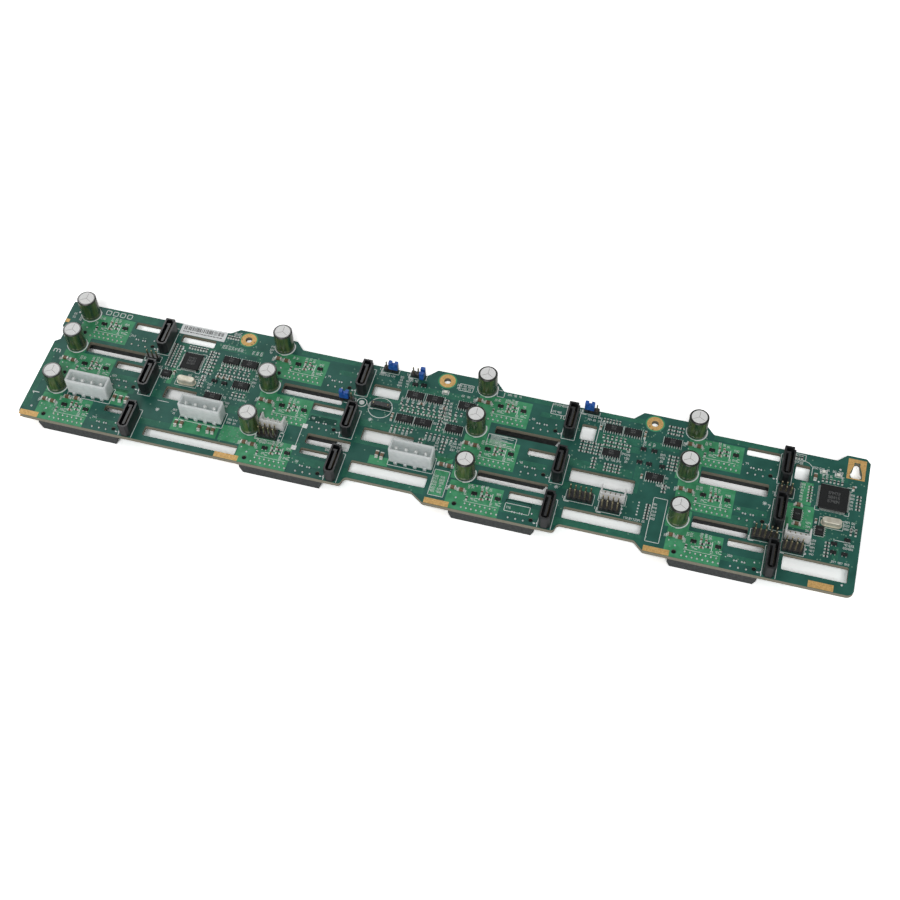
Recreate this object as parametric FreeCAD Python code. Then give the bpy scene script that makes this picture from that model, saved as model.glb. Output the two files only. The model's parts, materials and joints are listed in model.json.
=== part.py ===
"""Drive backplane board for a two-unit server: twelve drive bays, four columns by three rows.

The board lies flat with its drive connectors underneath. X runs along the board, Y from its front
edge to its mounting tabs, and Z = 0 is the plane of the drive connectors' mouths.
"""
import FreeCAD, Part
import math
import os

# ---- Driving dimensions, in millimetres ----

# The grid of bays. Each bay is placed by the left locating hole of its drive connector.
column_count = 4
row_count = 3
column_pitch = 109.22
row_pitch = 27.35

# The board reaches this far beyond the first and last bays' left locating holes.
left_margin = 13.3
right_margin = 86.1
front_margin = 3.3
rear_margin = 22.3
board_thickness = 2.4
board_corner_radius = 3.5

# Mounting tabs along the rear edge, and the holes in them.
tab_height = 4.8
tab_slope = 4.5
first_stretch_rise = 1.2
tab_left, tab_right = 80.5, 112.5
last_tab_left, last_tab_rise = 74.3, 4.3
mounting_hole_x = 86.9
mounting_hole_from_rear = 5.4
mounting_hole_radius = 1.75

# The keyhole at the right end.
keyhole_x = 79.6
keyhole_from_rear = 11.2
keyhole_large_radius = 2.9
keyhole_small_radius = 1.4
keyhole_rise = 5.6

# Recesses in the front edge, and the notch in the left edge.
recess_depth = 4.6
left_notch_depth = 2.5

# Air slots.
slot_corner_radius = 0.8

# Drive connectors, under the board.
drive_body_height = 7.0
drive_body_depth = 5.8
drive_body_end = 2.35
drive_base_height = 3.0
drive_end_taper = 1.5
drive_roof = 1.6
drive_slot_width = 1.8
drive_key_width = 1.3
drive_key_reach = 1.9
drive_slot_margin = 0.9
peg_spacing = 38.7
peg_radius = 1.0
peg_clearance = 0.1
peg_short_of_top = 0.4

# Contacts of the drive connectors.
contact_pitch = 1.27
power_contact_count = 15
signal_contact_count = 7
first_power_x = 3.9
first_signal_x = 27.48
contact_width = 0.6
contact_thickness = 0.3
contact_recess = 0.6
tail_row_offset = 1.27
tail_proud = 0.6
foot_reach = 1.1

# Data headers, on top of the board.
data_left = 42.9
data_front = -3.0
data_width = 5.6
data_length = 17.0
data_height = 8.8
data_wall = 0.85
data_front_chamfer = 1.3
data_rear_step = 0.8
data_rear_length = 1.6
data_floor = 1.6
tongue_thickness = 1.2
tongue_end_margin = 2.19
tongue_below_rim = 1.0
tongue_key_reach = 1.4
data_contact_thickness = 0.25
data_contact_width = 0.7
data_contact_below_tip = 0.6

# Power connectors, on top of the board.
power_pin_pitch = 5.08
power_pin_count = 4
power_pin_radius = 1.05
power_pin_below_rim = 0.7
power_end_margin = 3.58
power_body_depth = 7.7
power_body_height = 11.2
power_wall = 1.0
power_floor = 2.4
power_corner_radius = 0.9
power_foot_height = 1.1
power_foot_width = 1.7
power_foot_reach = 0.6
power_pins_from_front = 3.7

# Aluminium capacitors.
capacitor_radius = 5.0
capacitor_height = 13.2
capacitor_base = 0.5
capacitor_groove_height = 1.9
capacitor_lead_spacing = 5.0
capacitor_lead_radius = 0.3

# Pin headers and the jumper caps on them.
header_pitch = 2.54
header_base_height = 2.54
header_notch = 0.35
pin_width = 0.64
tall_pin_above_base = 6.0
short_pin_above_base = 4.5
cap_end_margin = 1.23
cap_width = 2.4
cap_notch_width = 1.5
cap_notch_depth = 1.7
cap_roof = 0.25
cap_pin_play = 0.05
cap_height = short_pin_above_base + cap_pin_play + cap_roof

# Walled fan headers.
fan_pitch = 2.5
fan_pin_count = 4
fan_end_margin = 2.45
fan_depth = 5.0
fan_height = 6.7
fan_pin_below_rim = 2.2
fan_wall = 0.8
fan_floor = 1.6
fan_rim_notch_width = 0.6
fan_rim_notch_depth = 0.7
fan_foot_arch_radius = 0.7
fan_foot_arch_height = 1.0

# Chips and small parts.
logic_length, logic_width, logic_height = 8.65, 3.9, 1.5
large_chip_height = 1.4
controller_side = 14.0
interface_side = 10.0
chip_edge_bevel = 0.2
pin_one_dimple = 0.45
dimple_depth = 0.08
crystal_length, crystal_width, crystal_height = 10.4, 4.4, 3.4
crystal_flange = 0.4
transistor_length, transistor_width, transistor_height = 2.9, 1.5, 1.1
ceramic_length, ceramic_width, ceramic_height = 3.2, 1.6, 1.3
led_length, led_width, led_height = 2.0, 1.25, 0.8
label_length, label_width, label_thickness = 25.4, 6.4, 0.12
label_corner_radius = 0.4

# Clearance of a pin or lead in its housing, and in its hole through the board.
pin_clearance = 0.05
hole_clearance = 0.12

# ---- Where things are: (column, row, x, y), from that bay's left locating hole ----

# Air slots: (column, row, left, right, front, rear).
air_slots = [
    (0, 0, 29.3, 39.0, 9.5, 13.0),
    (0, 0, 54.0, 103.8, 0.1, 5.7),
    (0, 1, 55.5, 72.3, -2.6, 5.0),
    (0, 1, 24.5, 39.3, 9.5, 14.0),
    (0, 1, 5.4, 37.2, 15.9, 22.3),
    (0, 2, 52.0, 70.7, 6.8, 11.8),
    (0, 2, 25.0, 39.0, 9.1, 13.5),
    (1, 0, 25.8, 40.3, 9.5, 13.0),
    (1, 0, 26.6, 49.6, 16.0, 22.3),
    (1, 0, 52.8, 92.6, 5.0, 12.0),
    (1, 1, 23.8, 40.3, 9.6, 13.9),
    (1, 1, 5.1, 37.8, 15.7, 22.2),
    (1, 1, 53.3, 79.8, -2.3, 5.5),
    (1, 2, 50.8, 65.2, -1.4, 5.8),
    (2, 0, 24.9, 42.1, 9.5, 14.0),
    (2, 0, 6.9, 42.6, 16.3, 22.3),
    (2, 0, 52.6, 91.6, 5.2, 11.8),
    (2, 1, 28.1, 42.1, 9.7, 13.9),
    (2, 1, 9.1, 42.6, 18.2, 22.9),
    (2, 1, 51.6, 83.8, -0.3, 7.7),
    (2, 2, 51.3, 58.9, -1.7, 7.8),
    (3, 0, 24.3, 41.8, 9.7, 14.0),
    (3, 0, 5.8, 32.8, 15.8, 22.3),
    (3, 0, 51.1, 82.3, 3.2, 12.0),
    (3, 1, 5.3, 39.0, 14.5, 22.0),
    (3, 2, 25.5, 42.0, 9.6, 14.3),
    (3, 2, 50.3, 57.3, 1.3, 10.3),
]
front_recesses = [(1, 51.0, 87.0, 93.8), (2, 50.5, 89.6, 94.6)]
capacitors = [
    (0, 0, -0.2, 18.8), (0, 1, -0.5, 18.9), (0, 2, -1.3, 12.8),
    (1, 0, -3.2, 18.8), (1, 1, -2.0, 18.9), (1, 2, -2.2, 17.2),
    (2, 0, 0.9, 18.6), (2, 1, -0.6, 18.9), (2, 2, -0.9, 17.2),
    (3, 0, -1.4, 18.8), (3, 1, -1.4, 18.9), (3, 2, -1.2, 17.2),
]
# Power connectors, by the right end of the body's front edge, beside which the ceramic capacitors stand.
power_connectors = [(0, 0, 30.0, 14.6), (0, 0, 91.7, 14.6), (1, 0, 93.7, 14.6)]
# Fan headers, by the left end of the front edge.
fan_headers = [(1, 0, 1.9, 19.8), (2, 0, 68.6, 20.0), (3, 0, 49.8, 20.0)]
# Pin headers: (column, row, left, front, pins along X, pins along Y).
pin_headers = [
    (1, 0, 2.2, 13.4, 4, 2), (2, 0, 69.4, 13.8, 4, 2), (3, 0, 49.8, 13.3, 4, 2),
    (2, 0, 52.8, 16.2, 5, 2), (3, 0, 34.5, 16.6, 5, 2), (3, 1, 43.3, 17.2, 3, 2),
    (1, 1, 35.9, 18.5, 3, 1), (1, 2, 52.9, 14.8, 3, 1), (1, 2, 67.6, 14.8, 3, 1),
    (2, 2, 50.4, 14.9, 3, 1), (0, 1, 38.3, 18.8, 3, 1),
]
# Jumper caps: (index of their pin header, first pin covered, whether the cap is turned along Y).
jumper_caps = [(6, 0, False), (7, 1, False), (8, 2, True), (9, 0, False)]
# The buzzer header keeps only its two outer pins: left end, front edge and number of places.
buzzer_header = (1, 1, 52.8, 18.6, 4)
logic_chips = [
    (0, 1, 81.0, 4.0), (0, 1, 93.0, 14.3), (0, 2, 83.0, 1.0), (0, 2, 93.0, 1.0),
    (1, 1, 71.8, 15.2), (1, 1, 81.5, 15.2), (1, 1, 97.8, 15.2),
    (1, 2, 73.3, 3.3), (1, 2, 83.8, 3.3), (1, 2, 100.8, 3.3),
    (2, 1, 68.8, 20.7), (2, 1, 92.6, 11.7),
    (2, 2, 67.2, 8.3), (2, 2, 77.1, 8.3), (2, 2, 97.6, 7.3),
]
# Eight-lead chips: (column, row, x, y, length along X, length along Y).
memory_chips = [(0, 1, 52.6, 12.1, 4.9, 3.9), (3, 1, 66.1, 1.4, 3.9, 4.9), (3, 1, 54.5, 7.9, 3.9, 6.2)]
interface_chip = (0, 1, 62.8, 22.7)
controller_chip = (3, 1, 70.5, 21.5)
crystals = [(0, 1, 64.5, 9.9), (3, 1, 71.2, 7.0)]
transistors = [
    (0, 1, 78.5, 14.0), (0, 1, 84.0, 13.7), (1, 2, 71.3, 10.3), (1, 2, 75.8, 10.8),
    (2, 1, 83.6, 19.1), (2, 1, 88.4, 19.1), (2, 1, 95.1, 19.1), (2, 2, 84.1, 0.0), (2, 2, 89.6, 0.0),
    (3, 0, 73.8, 23.3), (3, 0, 74.0, 18.5), (3, 0, 79.8, 26.7), (3, 0, 79.3, 18.5),
]
bay_transistors = [(8.3, 7.8), (20.3, 7.6)]
# Ceramic chip capacitors: (column, row, x, y, whether the long side runs along Y).
ceramics = [
    (0, 0, 8.0, 12.7, False), (0, 0, 13.0, 12.9, False), (0, 0, 31.8, 18.5, True),
    (0, 0, 35.2, 18.3, True), (0, 0, 38.4, 18.5, True), (0, 0, 68.5, 11.3, True),
    (0, 0, 71.5, 11.5, True), (0, 0, 81.0, 11.5, True), (0, 0, 86.0, 11.3, True),
    (0, 0, 88.5, 11.3, True), (1, 0, 64.3, 18.5, True), (1, 0, 67.0, 18.0, True),
    (1, 0, 97.3, 20.5, False), (1, 0, 101.4, 20.3, False), (3, 1, 54.3, 13.7, False),
    (3, 1, 54.8, 2.7, False), (3, 2, 60.3, 4.8, True),
]
# In every bay but the one whose capacitor stands in the way.
bay_ceramics = [(-3.0, 8.7), (1.6, 8.3)]
bay_without_ceramics = (0, 2)
leds = [(1, 2, 87.8, 9.5), (3, 2, 64.0, 8.8), (3, 2, 71.3, 8.6)]
label_place = (0, 2, 49.2, 12.2)

# ---- Derived levels and lengths ----

board_length = (column_count - 1) * column_pitch + left_margin + right_margin
board_depth = (row_count - 1) * row_pitch + front_margin + rear_margin
board_bottom = drive_body_height
board_top = board_bottom + board_thickness
peg_hole_radius = peg_radius + peg_clearance
tongue_length = (signal_contact_count - 1) * contact_pitch + 2 * tongue_end_margin
power_body_length = (power_pin_count - 1) * power_pin_pitch + 2 * power_end_margin
fan_length = (fan_pin_count - 1) * fan_pitch + 2 * fan_end_margin
cap_length = header_pitch + 2 * cap_end_margin


def at(column, row, x, y):
    """The point in the part's frame that lies at (x, y) from a bay's left locating hole."""
    return (column * column_pitch + x + left_margin - board_length / 2,
            row * row_pitch + y + front_margin - board_depth / 2)


def bays():
    return [(column, row) for row in range(row_count) for column in range(column_count)]


# ---- Shape helpers ----

def vector(x, y, z=0.0):
    return FreeCAD.Vector(x, y, z)


def box(x0, x1, y0, y1, z0, z1):
    return Part.makeBox(x1 - x0, y1 - y0, z1 - z0, vector(x0, y0, z0))


def block(x, y, length, width, z0, z1):
    """A box centred on (x, y)."""
    return box(x - length / 2, x + length / 2, y - width / 2, y + width / 2, z0, z1)


def cylinder(x, y, radius, z0, z1):
    return Part.makeCylinder(radius, z1 - z0, vector(x, y, z0))


def moved(shape, x, y, z=0.0):
    copy = shape.copy()
    copy.translate(vector(x, y, z))
    return copy


def prism(corners, z0, z1):
    """An upright prism. Each corner is (x, y, radius), and a radius of 0 stays sharp."""
    edges = []
    ends = []
    count = len(corners)
    for index, (x, y, radius) in enumerate(corners):
        here = vector(x, y, z0)
        to_before = vector(*corners[index - 1][:2], z0) - here
        to_after = vector(*corners[(index + 1) % count][:2], z0) - here
        to_before.normalize()
        to_after.normalize()
        if radius == 0:
            ends.append((here, here, None))
            continue
        half_angle = to_before.getAngle(to_after) / 2
        bisector = to_before + to_after
        bisector.normalize()
        reach = radius / math.tan(half_angle)
        middle = here + bisector * (radius / math.sin(half_angle) - radius)
        start, end = here + to_before * reach, here + to_after * reach
        ends.append((start, end, Part.Arc(start, middle, end).toShape()))
    for index, (start, end, arc) in enumerate(ends):
        if arc:
            edges.append(arc)
        edges.append(Part.LineSegment(end, ends[(index + 1) % count][0]).toShape())
    return Part.Face(Part.Wire(edges)).extrude(vector(0, 0, z1 - z0))


def rounded_box(x0, x1, y0, y1, z0, z1, radius):
    return prism([(x0, y0, radius), (x1, y0, radius), (x1, y1, radius), (x0, y1, radius)], z0, z1)


def turned(profile, x, y):
    """A solid of revolution about the upright axis at (x, y), from (radius, z) points."""
    points = [vector(radius, 0, z) for radius, z in profile]
    face = Part.Face(Part.makePolygon(points + points[:1]))
    return moved(face.revolve(vector(0, 0), vector(0, 0, 1), 360), x, y)


def bevelled_block(x, y, length, width, z0, z1, bevel):
    """A block with its top edges bevelled."""
    body = block(x, y, length, width, z0, z1)
    top_edges = [edge for edge in body.Edges if all(abs(v.Z - z1) < 1e-6 for v in edge.Vertexes)]
    return body.makeChamfer(bevel, top_edges)


def write(name, *shapes):
    """One STEP file for a node: its only solid, or a group of separate solids."""
    shape = shapes[0] if len(shapes) == 1 else Part.makeCompound(list(shapes))
    shape.exportStep("parts/" + name + ".step")


# ---- The circuit board ----

def board_corners():
    """The board's outline from its front left corner, anticlockwise, as (x, y, radius)."""
    left, front = -board_length / 2, -board_depth / 2
    right, rear = board_length / 2, board_depth / 2
    low = rear - tab_height
    corners = [(left, front, board_corner_radius)]
    for column, start, flat_end, end in front_recesses:
        x0, x1, x2 = at(column, 0, start, 0)[0], at(column, 0, flat_end, 0)[0], at(column, 0, end, 0)[0]
        corners += [(x0, front, 1.8), (x0 + 1.2, front + recess_depth, 2.2)]
        corners += [(x1, front + recess_depth, 2.0), (x2, front, 1.5)]
    corners.append((right, front, board_corner_radius))
    corners += [(right, rear - 3.0, 1.0), (right - 2.2, rear - 0.5, 1.0)]
    last_left = at(column_count - 1, 0, last_tab_left, 0)[0]
    corners += [(last_left, rear - 0.5, 1.0), (last_left - tab_slope, rear - tab_height, 1.0)]
    for column in reversed(range(column_count - 1)):
        x0, x1 = at(column, 0, tab_left, 0)[0], at(column, 0, tab_right, 0)[0]
        corners += [(x1 + tab_slope, low, 1.5), (x1, rear, 1.5), (x0, rear, 1.5)]
        step = low if column else low + first_stretch_rise
        corners.append((x0 - tab_slope, step, 1.5))
    corners.append((left, low + first_stretch_rise, 1.0))
    notch_rear, notch_front = at(0, 2, 0, 1.5)[1], at(0, 1, 0, 18.2)[1]
    corners += [(left, notch_rear, 0.5), (left + left_notch_depth, notch_rear - 1.5, 0.8)]
    corners += [(left + left_notch_depth, notch_front + 2.0, 0.8), (left, notch_front, 0.5)]
    return corners


def keyhole(z0, z1):
    """A hole that passes a screw's head at its wide end and holds the shank at its narrow end."""
    x, y = at(column_count - 1, row_count - 1, keyhole_x, rear_margin - keyhole_from_rear)
    neck = prism([(x - keyhole_large_radius * 0.8, y, 0), (x + keyhole_large_radius * 0.8, y, 0),
                  (x + keyhole_small_radius, y + keyhole_rise, 0),
                  (x - keyhole_small_radius, y + keyhole_rise, 0)], z0, z1)
    large = cylinder(x, y, keyhole_large_radius, z0, z1)
    small = cylinder(x, y + keyhole_rise, keyhole_small_radius, z0, z1)
    return large.fuse([small, neck])


def mounting_hole_places():
    return [at(column, row_count - 1, mounting_hole_x, rear_margin - mounting_hole_from_rear)
            for column in range(column_count - 1)]


def circuit_board():
    board = prism(board_corners(), board_bottom, board_top)
    under, over = board_bottom - 1, board_top + 1
    cuts = [keyhole(under, over)]
    for column, row, left, right, front, rear in air_slots:
        x0, y0 = at(column, row, left, front)
        x1, y1 = at(column, row, right, rear)
        cuts.append(rounded_box(x0, x1, y0, y1, under, over, slot_corner_radius))
    for x, y in mounting_hole_places():
        cuts.append(cylinder(x, y, mounting_hole_radius, under, over))
    for x, y, radius in lead_holes():
        cuts.append(cylinder(x, y, radius, under, over))
    return board.cut(cuts)


def lead_holes():
    """Every round hole that a peg, pin or lead passes through, as (x, y, radius)."""
    holes = []
    for column, row in bays():
        for x in (0, peg_spacing):
            holes.append((*at(column, row, x, 0), peg_hole_radius))
        for x, y in through_tails():
            holes.append((*at(column, row, x, y), half_diagonal(contact_width, contact_thickness)))
        for y in data_contact_rows():
            radius = half_diagonal(data_contact_width, data_contact_thickness)
            holes.append((*at(column, row, data_contact_x(), y), radius))
    for place in capacitors:
        x, y = at(*place)
        for side in (-1, 1):
            holes.append((x + side * capacitor_lead_spacing / 2, y, capacitor_lead_radius + hole_clearance))
    for x, y in power_pin_places():
        holes.append((x, y, power_pin_radius + hole_clearance))
    for x, y in fan_pin_places() + header_pin_places():
        holes.append((x, y, half_diagonal(pin_width, pin_width)))
    return holes


def half_diagonal(length, width):
    """The radius of a hole that clears a rectangular pin."""
    return math.hypot(length, width) / 2 + hole_clearance


# ---- Drive connectors and their contacts ----

def power_contact_xs():
    return [first_power_x + index * contact_pitch for index in range(power_contact_count)]


def signal_contact_xs():
    return [first_signal_x + index * contact_pitch for index in range(signal_contact_count)]


def signal_ground_xs():
    """The first, middle and last signal contacts are grounds, and pass through the board."""
    return signal_contact_xs()[::3]


def through_tails():
    """The contact tails that pass through the board: power in two staggered rows, grounds in one."""
    power = [(x, tail_row_offset * (-1) ** (index + 1)) for index, x in enumerate(power_contact_xs())]
    return power + [(x, -tail_row_offset) for x in signal_ground_xs()]


def drive_slot(first_x, last_x, key_at_left):
    """One L-shaped cavity, open downwards, round a row of contacts."""
    x0, x1 = first_x - drive_slot_margin, last_x + drive_slot_margin
    half = drive_slot_width / 2
    top = board_bottom - drive_roof
    key_x = x0 if key_at_left else x1 - drive_key_width
    main = box(x0, x1, -half, half, -1, top)
    key = box(key_x, key_x + drive_key_width, -drive_key_reach, half, -1, top)
    return main.fuse(key)


def drive_contact(x, tail_y):
    """A blade in the cavity, with a tail through the board, or a foot under it if tail_y is None."""
    wall = drive_slot_width / 2
    inner = wall - contact_thickness
    x0, x1 = x - contact_width / 2, x + contact_width / 2
    roof = board_bottom - drive_roof
    if tail_y is None:
        blade = box(x0, x1, inner, wall, contact_recess, board_bottom)
        foot = box(x0, x1, inner, drive_body_depth / 2 + foot_reach, board_bottom - contact_thickness,
                   board_bottom)
        return blade.fuse(foot).removeSplitter()
    jog = roof + contact_thickness
    blade = box(x0, x1, inner, wall, contact_recess, jog + contact_thickness)
    y0, y1 = tail_y - contact_thickness / 2, tail_y + contact_thickness / 2
    bridge = box(x0, x1, min(y0, inner), max(y1, wall), jog, jog + contact_thickness)
    tail = box(x0, x1, y0, y1, jog, board_top + tail_proud)
    return blade.fuse([bridge, tail]).removeSplitter()


def bay_contacts():
    contacts = [drive_contact(x, y) for x, y in through_tails()]
    grounds = signal_ground_xs()
    contacts += [drive_contact(x, None) for x in signal_contact_xs() if x not in grounds]
    return contacts


def drive_connector(contacts):
    """The moulded receptacle, with its ends tapered towards its mouth and two locating pegs."""
    left, right = -drive_body_end, peg_spacing + drive_body_end
    base = board_bottom - drive_base_height
    half = drive_body_depth / 2
    side = [(left, board_bottom), (right, board_bottom), (right, base),
            (right - drive_end_taper, 0), (left + drive_end_taper, 0), (left, base)]
    wire = Part.makePolygon([vector(x, -half, z) for x, z in side + side[:1]])
    body = Part.Face(wire).extrude(vector(0, drive_body_depth, 0))
    powers, signals = power_contact_xs(), signal_contact_xs()
    cavities = [drive_slot(powers[0], powers[-1], True), drive_slot(signals[0], signals[-1], False)]
    peg_top = board_top - peg_short_of_top
    pegs = [cylinder(x, 0, peg_radius, board_bottom - 1, peg_top) for x in (0, peg_spacing)]
    return body.fuse(pegs).cut(cavities + contacts).removeSplitter()


# ---- Data headers and their contacts ----

def data_centre_x():
    return data_left + data_width / 2


def data_contact_x():
    return data_centre_x() + tongue_thickness / 2 + data_contact_thickness / 2


def tongue_front():
    return data_front + (data_length - tongue_length) / 2


def data_contact_rows():
    """The seven contacts, centred on the straight part of the tongue."""
    middle = tongue_front() + tongue_length / 2
    span = (signal_contact_count - 1) * contact_pitch
    return [middle - span / 2 + index * contact_pitch for index in range(signal_contact_count)]


def data_contact(y):
    x0 = data_centre_x() + tongue_thickness / 2
    tip = board_top + data_height - tongue_below_rim - data_contact_below_tip
    return box(x0, x0 + data_contact_thickness, y - data_contact_width / 2, y + data_contact_width / 2,
               board_bottom - tail_proud, tip)


def data_outline(inset):
    """The header's outline seen from above, drawn in by an inset: narrower behind, bevelled in front."""
    x0, x1 = data_left + inset, data_left + data_width - inset
    y0, y1 = data_front + inset, data_front + data_length - inset
    bevel = data_front_chamfer - inset * 0.4
    step_y = y1 + inset - data_rear_length
    narrow = x1 - data_rear_step
    return [(x0, y0 + bevel, 0), (x0 + bevel, y0, 0), (x1 - bevel, y0, 0), (x1, y0 + bevel, 0),
            (x1, step_y, 0), (narrow, step_y, 0), (narrow, y1, 0), (x0, y1, 0)]


def data_header(contacts):
    """An upright shroud round a tongue with an L-shaped end."""
    rim = board_top + data_height
    shell = prism(data_outline(0), board_top, rim)
    cavity = prism(data_outline(data_wall), board_top + data_floor, rim + 1)
    x, y0 = data_centre_x(), tongue_front()
    y1 = y0 + tongue_length
    half = tongue_thickness / 2
    tip = rim - tongue_below_rim
    tongue = box(x - half, x + half, y0, y1, board_top + data_floor - 1, tip)
    key = box(x - half - tongue_key_reach, x + half, y1 - tongue_thickness, y1,
              board_top + data_floor - 1, tip)
    return shell.cut(cavity).fuse([tongue, key]).cut(contacts).removeSplitter()


# ---- Power connectors ----

def power_body_corner(place):
    """The front left corner of a power connector's body."""
    x, y = at(*place)
    return x - power_body_length, y


def power_pins_of(place):
    x, y = power_body_corner(place)
    return [(x + power_end_margin + index * power_pin_pitch, y + power_pins_from_front)
            for index in range(power_pin_count)]


def power_pin_places():
    return [pin for place in power_connectors for pin in power_pins_of(place)]


def power_outline(x, y, inset):
    """A rectangle behind the front feet, with its corners rounded."""
    x0, x1 = x + inset, x + power_body_length - inset
    y0, y1 = y + power_foot_reach + inset, y + power_foot_reach + power_body_depth - inset
    radius = max(power_corner_radius - inset * 0.6, 0.3)
    return [(x0, y0, radius), (x1, y0, radius), (x1, y1, radius), (x0, y1, radius)]


def power_connector(place):
    """A tall open shroud on small feet, which stand out in front of it and level with its back."""
    x, y = power_body_corner(place)
    underside, rim = board_top + power_foot_height, board_top + power_body_height
    shell = prism(power_outline(x, y, 0), underside, rim)
    cavity = prism(power_outline(x, y, power_wall), underside + power_floor, rim + 1)
    feet, bores = [], []
    for pin_x, pin_y in power_pins_of(place):
        foot_left, foot_right = pin_x - power_foot_width / 2, pin_x + power_foot_width / 2
        rear = y + power_foot_reach + power_body_depth
        feet.append(box(foot_left, foot_right, y, y + power_foot_reach + power_wall, board_top, underside + 1))
        feet.append(box(foot_left, foot_right, rear - power_wall, rear, board_top, underside + 1))
        bores.append(cylinder(pin_x, pin_y, power_pin_radius + pin_clearance, board_top, rim))
    return shell.cut(cavity).fuse(feet).cut(bores).removeSplitter()


def power_pin(x, y):
    """A round pin with a domed tip, through the housing's floor and the board."""
    tip = board_top + power_body_height - power_pin_below_rim
    radius = power_pin_radius
    dome = Part.makeSphere(radius, vector(x, y, tip - radius))
    return cylinder(x, y, radius, board_bottom - tail_proud, tip - radius).fuse(dome).removeSplitter()


# ---- Capacitors ----

def capacitor(place):
    """A sleeved can with a rolled groove near its base, a scored top and two leads."""
    x, y = at(*place)
    radius, top = capacitor_radius, board_top + capacitor_height
    groove = board_top + capacitor_groove_height
    profile = [(0, board_top), (radius - 0.6, board_top), (radius, board_top + capacitor_base),
               (radius, groove - 0.5), (radius - 0.35, groove), (radius, groove + 0.5),
               (radius, top - 0.45), (radius - 0.45, top), (radius - 1.0, top),
               (radius - 1.15, top - 0.2), (0, top - 0.2)]
    can = turned(profile, x, y)
    scores = []
    for angle in (90, 210, 330):
        score = box(0, radius - 1.6, -0.12, 0.12, top - 0.32, top)
        score.rotate(vector(0, 0), vector(0, 0, 1), angle)
        scores.append(moved(score, x, y))
    leads = [cylinder(x + side * capacitor_lead_spacing / 2, y, capacitor_lead_radius,
                      board_bottom - tail_proud, board_top + 1) for side in (-1, 1)]
    return can.cut(scores).fuse(leads).removeSplitter()


# ---- Pin headers, jumper caps and fan headers ----

def header_cells(place):
    """The centre of each place in a pin header, row by row."""
    column, row, left, front, along, across = place
    x, y = at(column, row, left, front)
    return [(x + (i + 0.5) * header_pitch, y + (j + 0.5) * header_pitch)
            for j in range(across) for i in range(along)]


def header_pin_height(place):
    """Headers three places long, which take the jumper caps, have the short pins."""
    along = place[4]
    return header_base_height + (short_pin_above_base if along == 3 else tall_pin_above_base)


def header_place_of_buzzer():
    column, row, left, front, along = buzzer_header
    return (column, row, left, front, along, 1)


def buzzer_pin_places():
    cells = header_cells(header_place_of_buzzer())
    return [cells[0], cells[-1]]


def header_pin_places():
    places = [cell for place in pin_headers for cell in header_cells(place)]
    return places + buzzer_pin_places()


def header_base(place, pins):
    """A moulded block, notched between its places, with a square bore for each pin."""
    column, row, left, front, along, across = place
    x0, y0 = at(column, row, left, front)
    y1 = y0 + across * header_pitch
    front_side, rear_side = [], []
    for i in range(along):
        a, b = x0 + i * header_pitch, x0 + (i + 1) * header_pitch
        front_side += [(a, y0 + header_notch, 0), (a + header_notch, y0, 0),
                       (b - header_notch, y0, 0), (b, y0 + header_notch, 0)]
        rear_side += [(a, y1 - header_notch, 0), (a + header_notch, y1, 0),
                      (b - header_notch, y1, 0), (b, y1 - header_notch, 0)]
    outline = without_repeats(front_side + rear_side[::-1])
    base = prism(outline, board_top, board_top + header_base_height)
    bore = pin_width + 2 * pin_clearance
    bores = [block(x, y, bore, bore, board_top - 1, board_top + header_base_height + 1) for x, y in pins]
    return base.cut(bores)


def without_repeats(corners):
    return [corner for index, corner in enumerate(corners) if corner != corners[index - 1]]


def square_pin(x, y, height):
    """A square pin with a pointed tip, through the board."""
    foot = board_bottom - tail_proud
    return bevelled_block(x, y, pin_width, pin_width, foot, board_top + height, 0.2)


def jumper_cap(header_index, first_pin, along_y):
    """A cap over two pins, notched at its top. Turned along Y it is parked on one pin."""
    x, y = header_cells(pin_headers[header_index])[first_pin]
    z0 = board_top + header_base_height
    z1 = z0 + cap_height
    length, half = cap_length / 2, cap_width / 2
    body = box(-length, length, -half, half, z0, z1)
    notch = box(-cap_notch_width / 2, cap_notch_width / 2, -half - 1, half + 1, z1 - cap_notch_depth, z1 + 1)
    bore = pin_width + 2 * pin_clearance
    bores = [block(side * header_pitch / 2, 0, bore, bore, z0 - 1, z1 - cap_roof) for side in (-1, 1)]
    corners = [edge for edge in body.Edges if abs(edge.Vertexes[0].Z - edge.Vertexes[-1].Z) > 1]
    cap = body.makeFillet(0.35, corners).cut([notch] + bores)
    cap.translate(vector(header_pitch / 2, 0))
    if along_y:
        cap.rotate(vector(0, 0), vector(0, 0, 1), -90)
    return moved(cap, x, y)


def fan_pins_of(place):
    x, y = at(*place)
    return [(x + fan_end_margin + index * fan_pitch, y + fan_depth / 2) for index in range(fan_pin_count)]


def fan_pin_places():
    return [pin for place in fan_headers for pin in fan_pins_of(place)]


def fan_header(place):
    """A shroud open at the top and rear, its end walls taller towards the rear."""
    x, y = at(*place)
    rim = board_top + fan_height
    body = box(x, x + fan_length, y, y + fan_depth, board_top, rim)
    cavity = box(x + fan_wall, x + fan_length - fan_wall, y + fan_wall, y + fan_depth + 1,
                 board_top + fan_floor, rim + 1)
    cuts = [cavity]
    for pin_x, pin_y in fan_pins_of(place):
        bore = pin_width + 2 * pin_clearance
        cuts.append(block(pin_x, pin_y, bore, bore, board_top - 1, board_top + fan_floor + 1))
        cuts.append(box(pin_x - fan_rim_notch_width / 2, pin_x + fan_rim_notch_width / 2, y - 1,
                        y + fan_wall + 1, rim - fan_rim_notch_depth, rim + 1))
        cuts.append(cylinder(pin_x, y, fan_foot_arch_radius, board_top - 1, board_top + fan_foot_arch_height))
    return body.cut(cuts)


# ---- Chips and small parts ----

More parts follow.
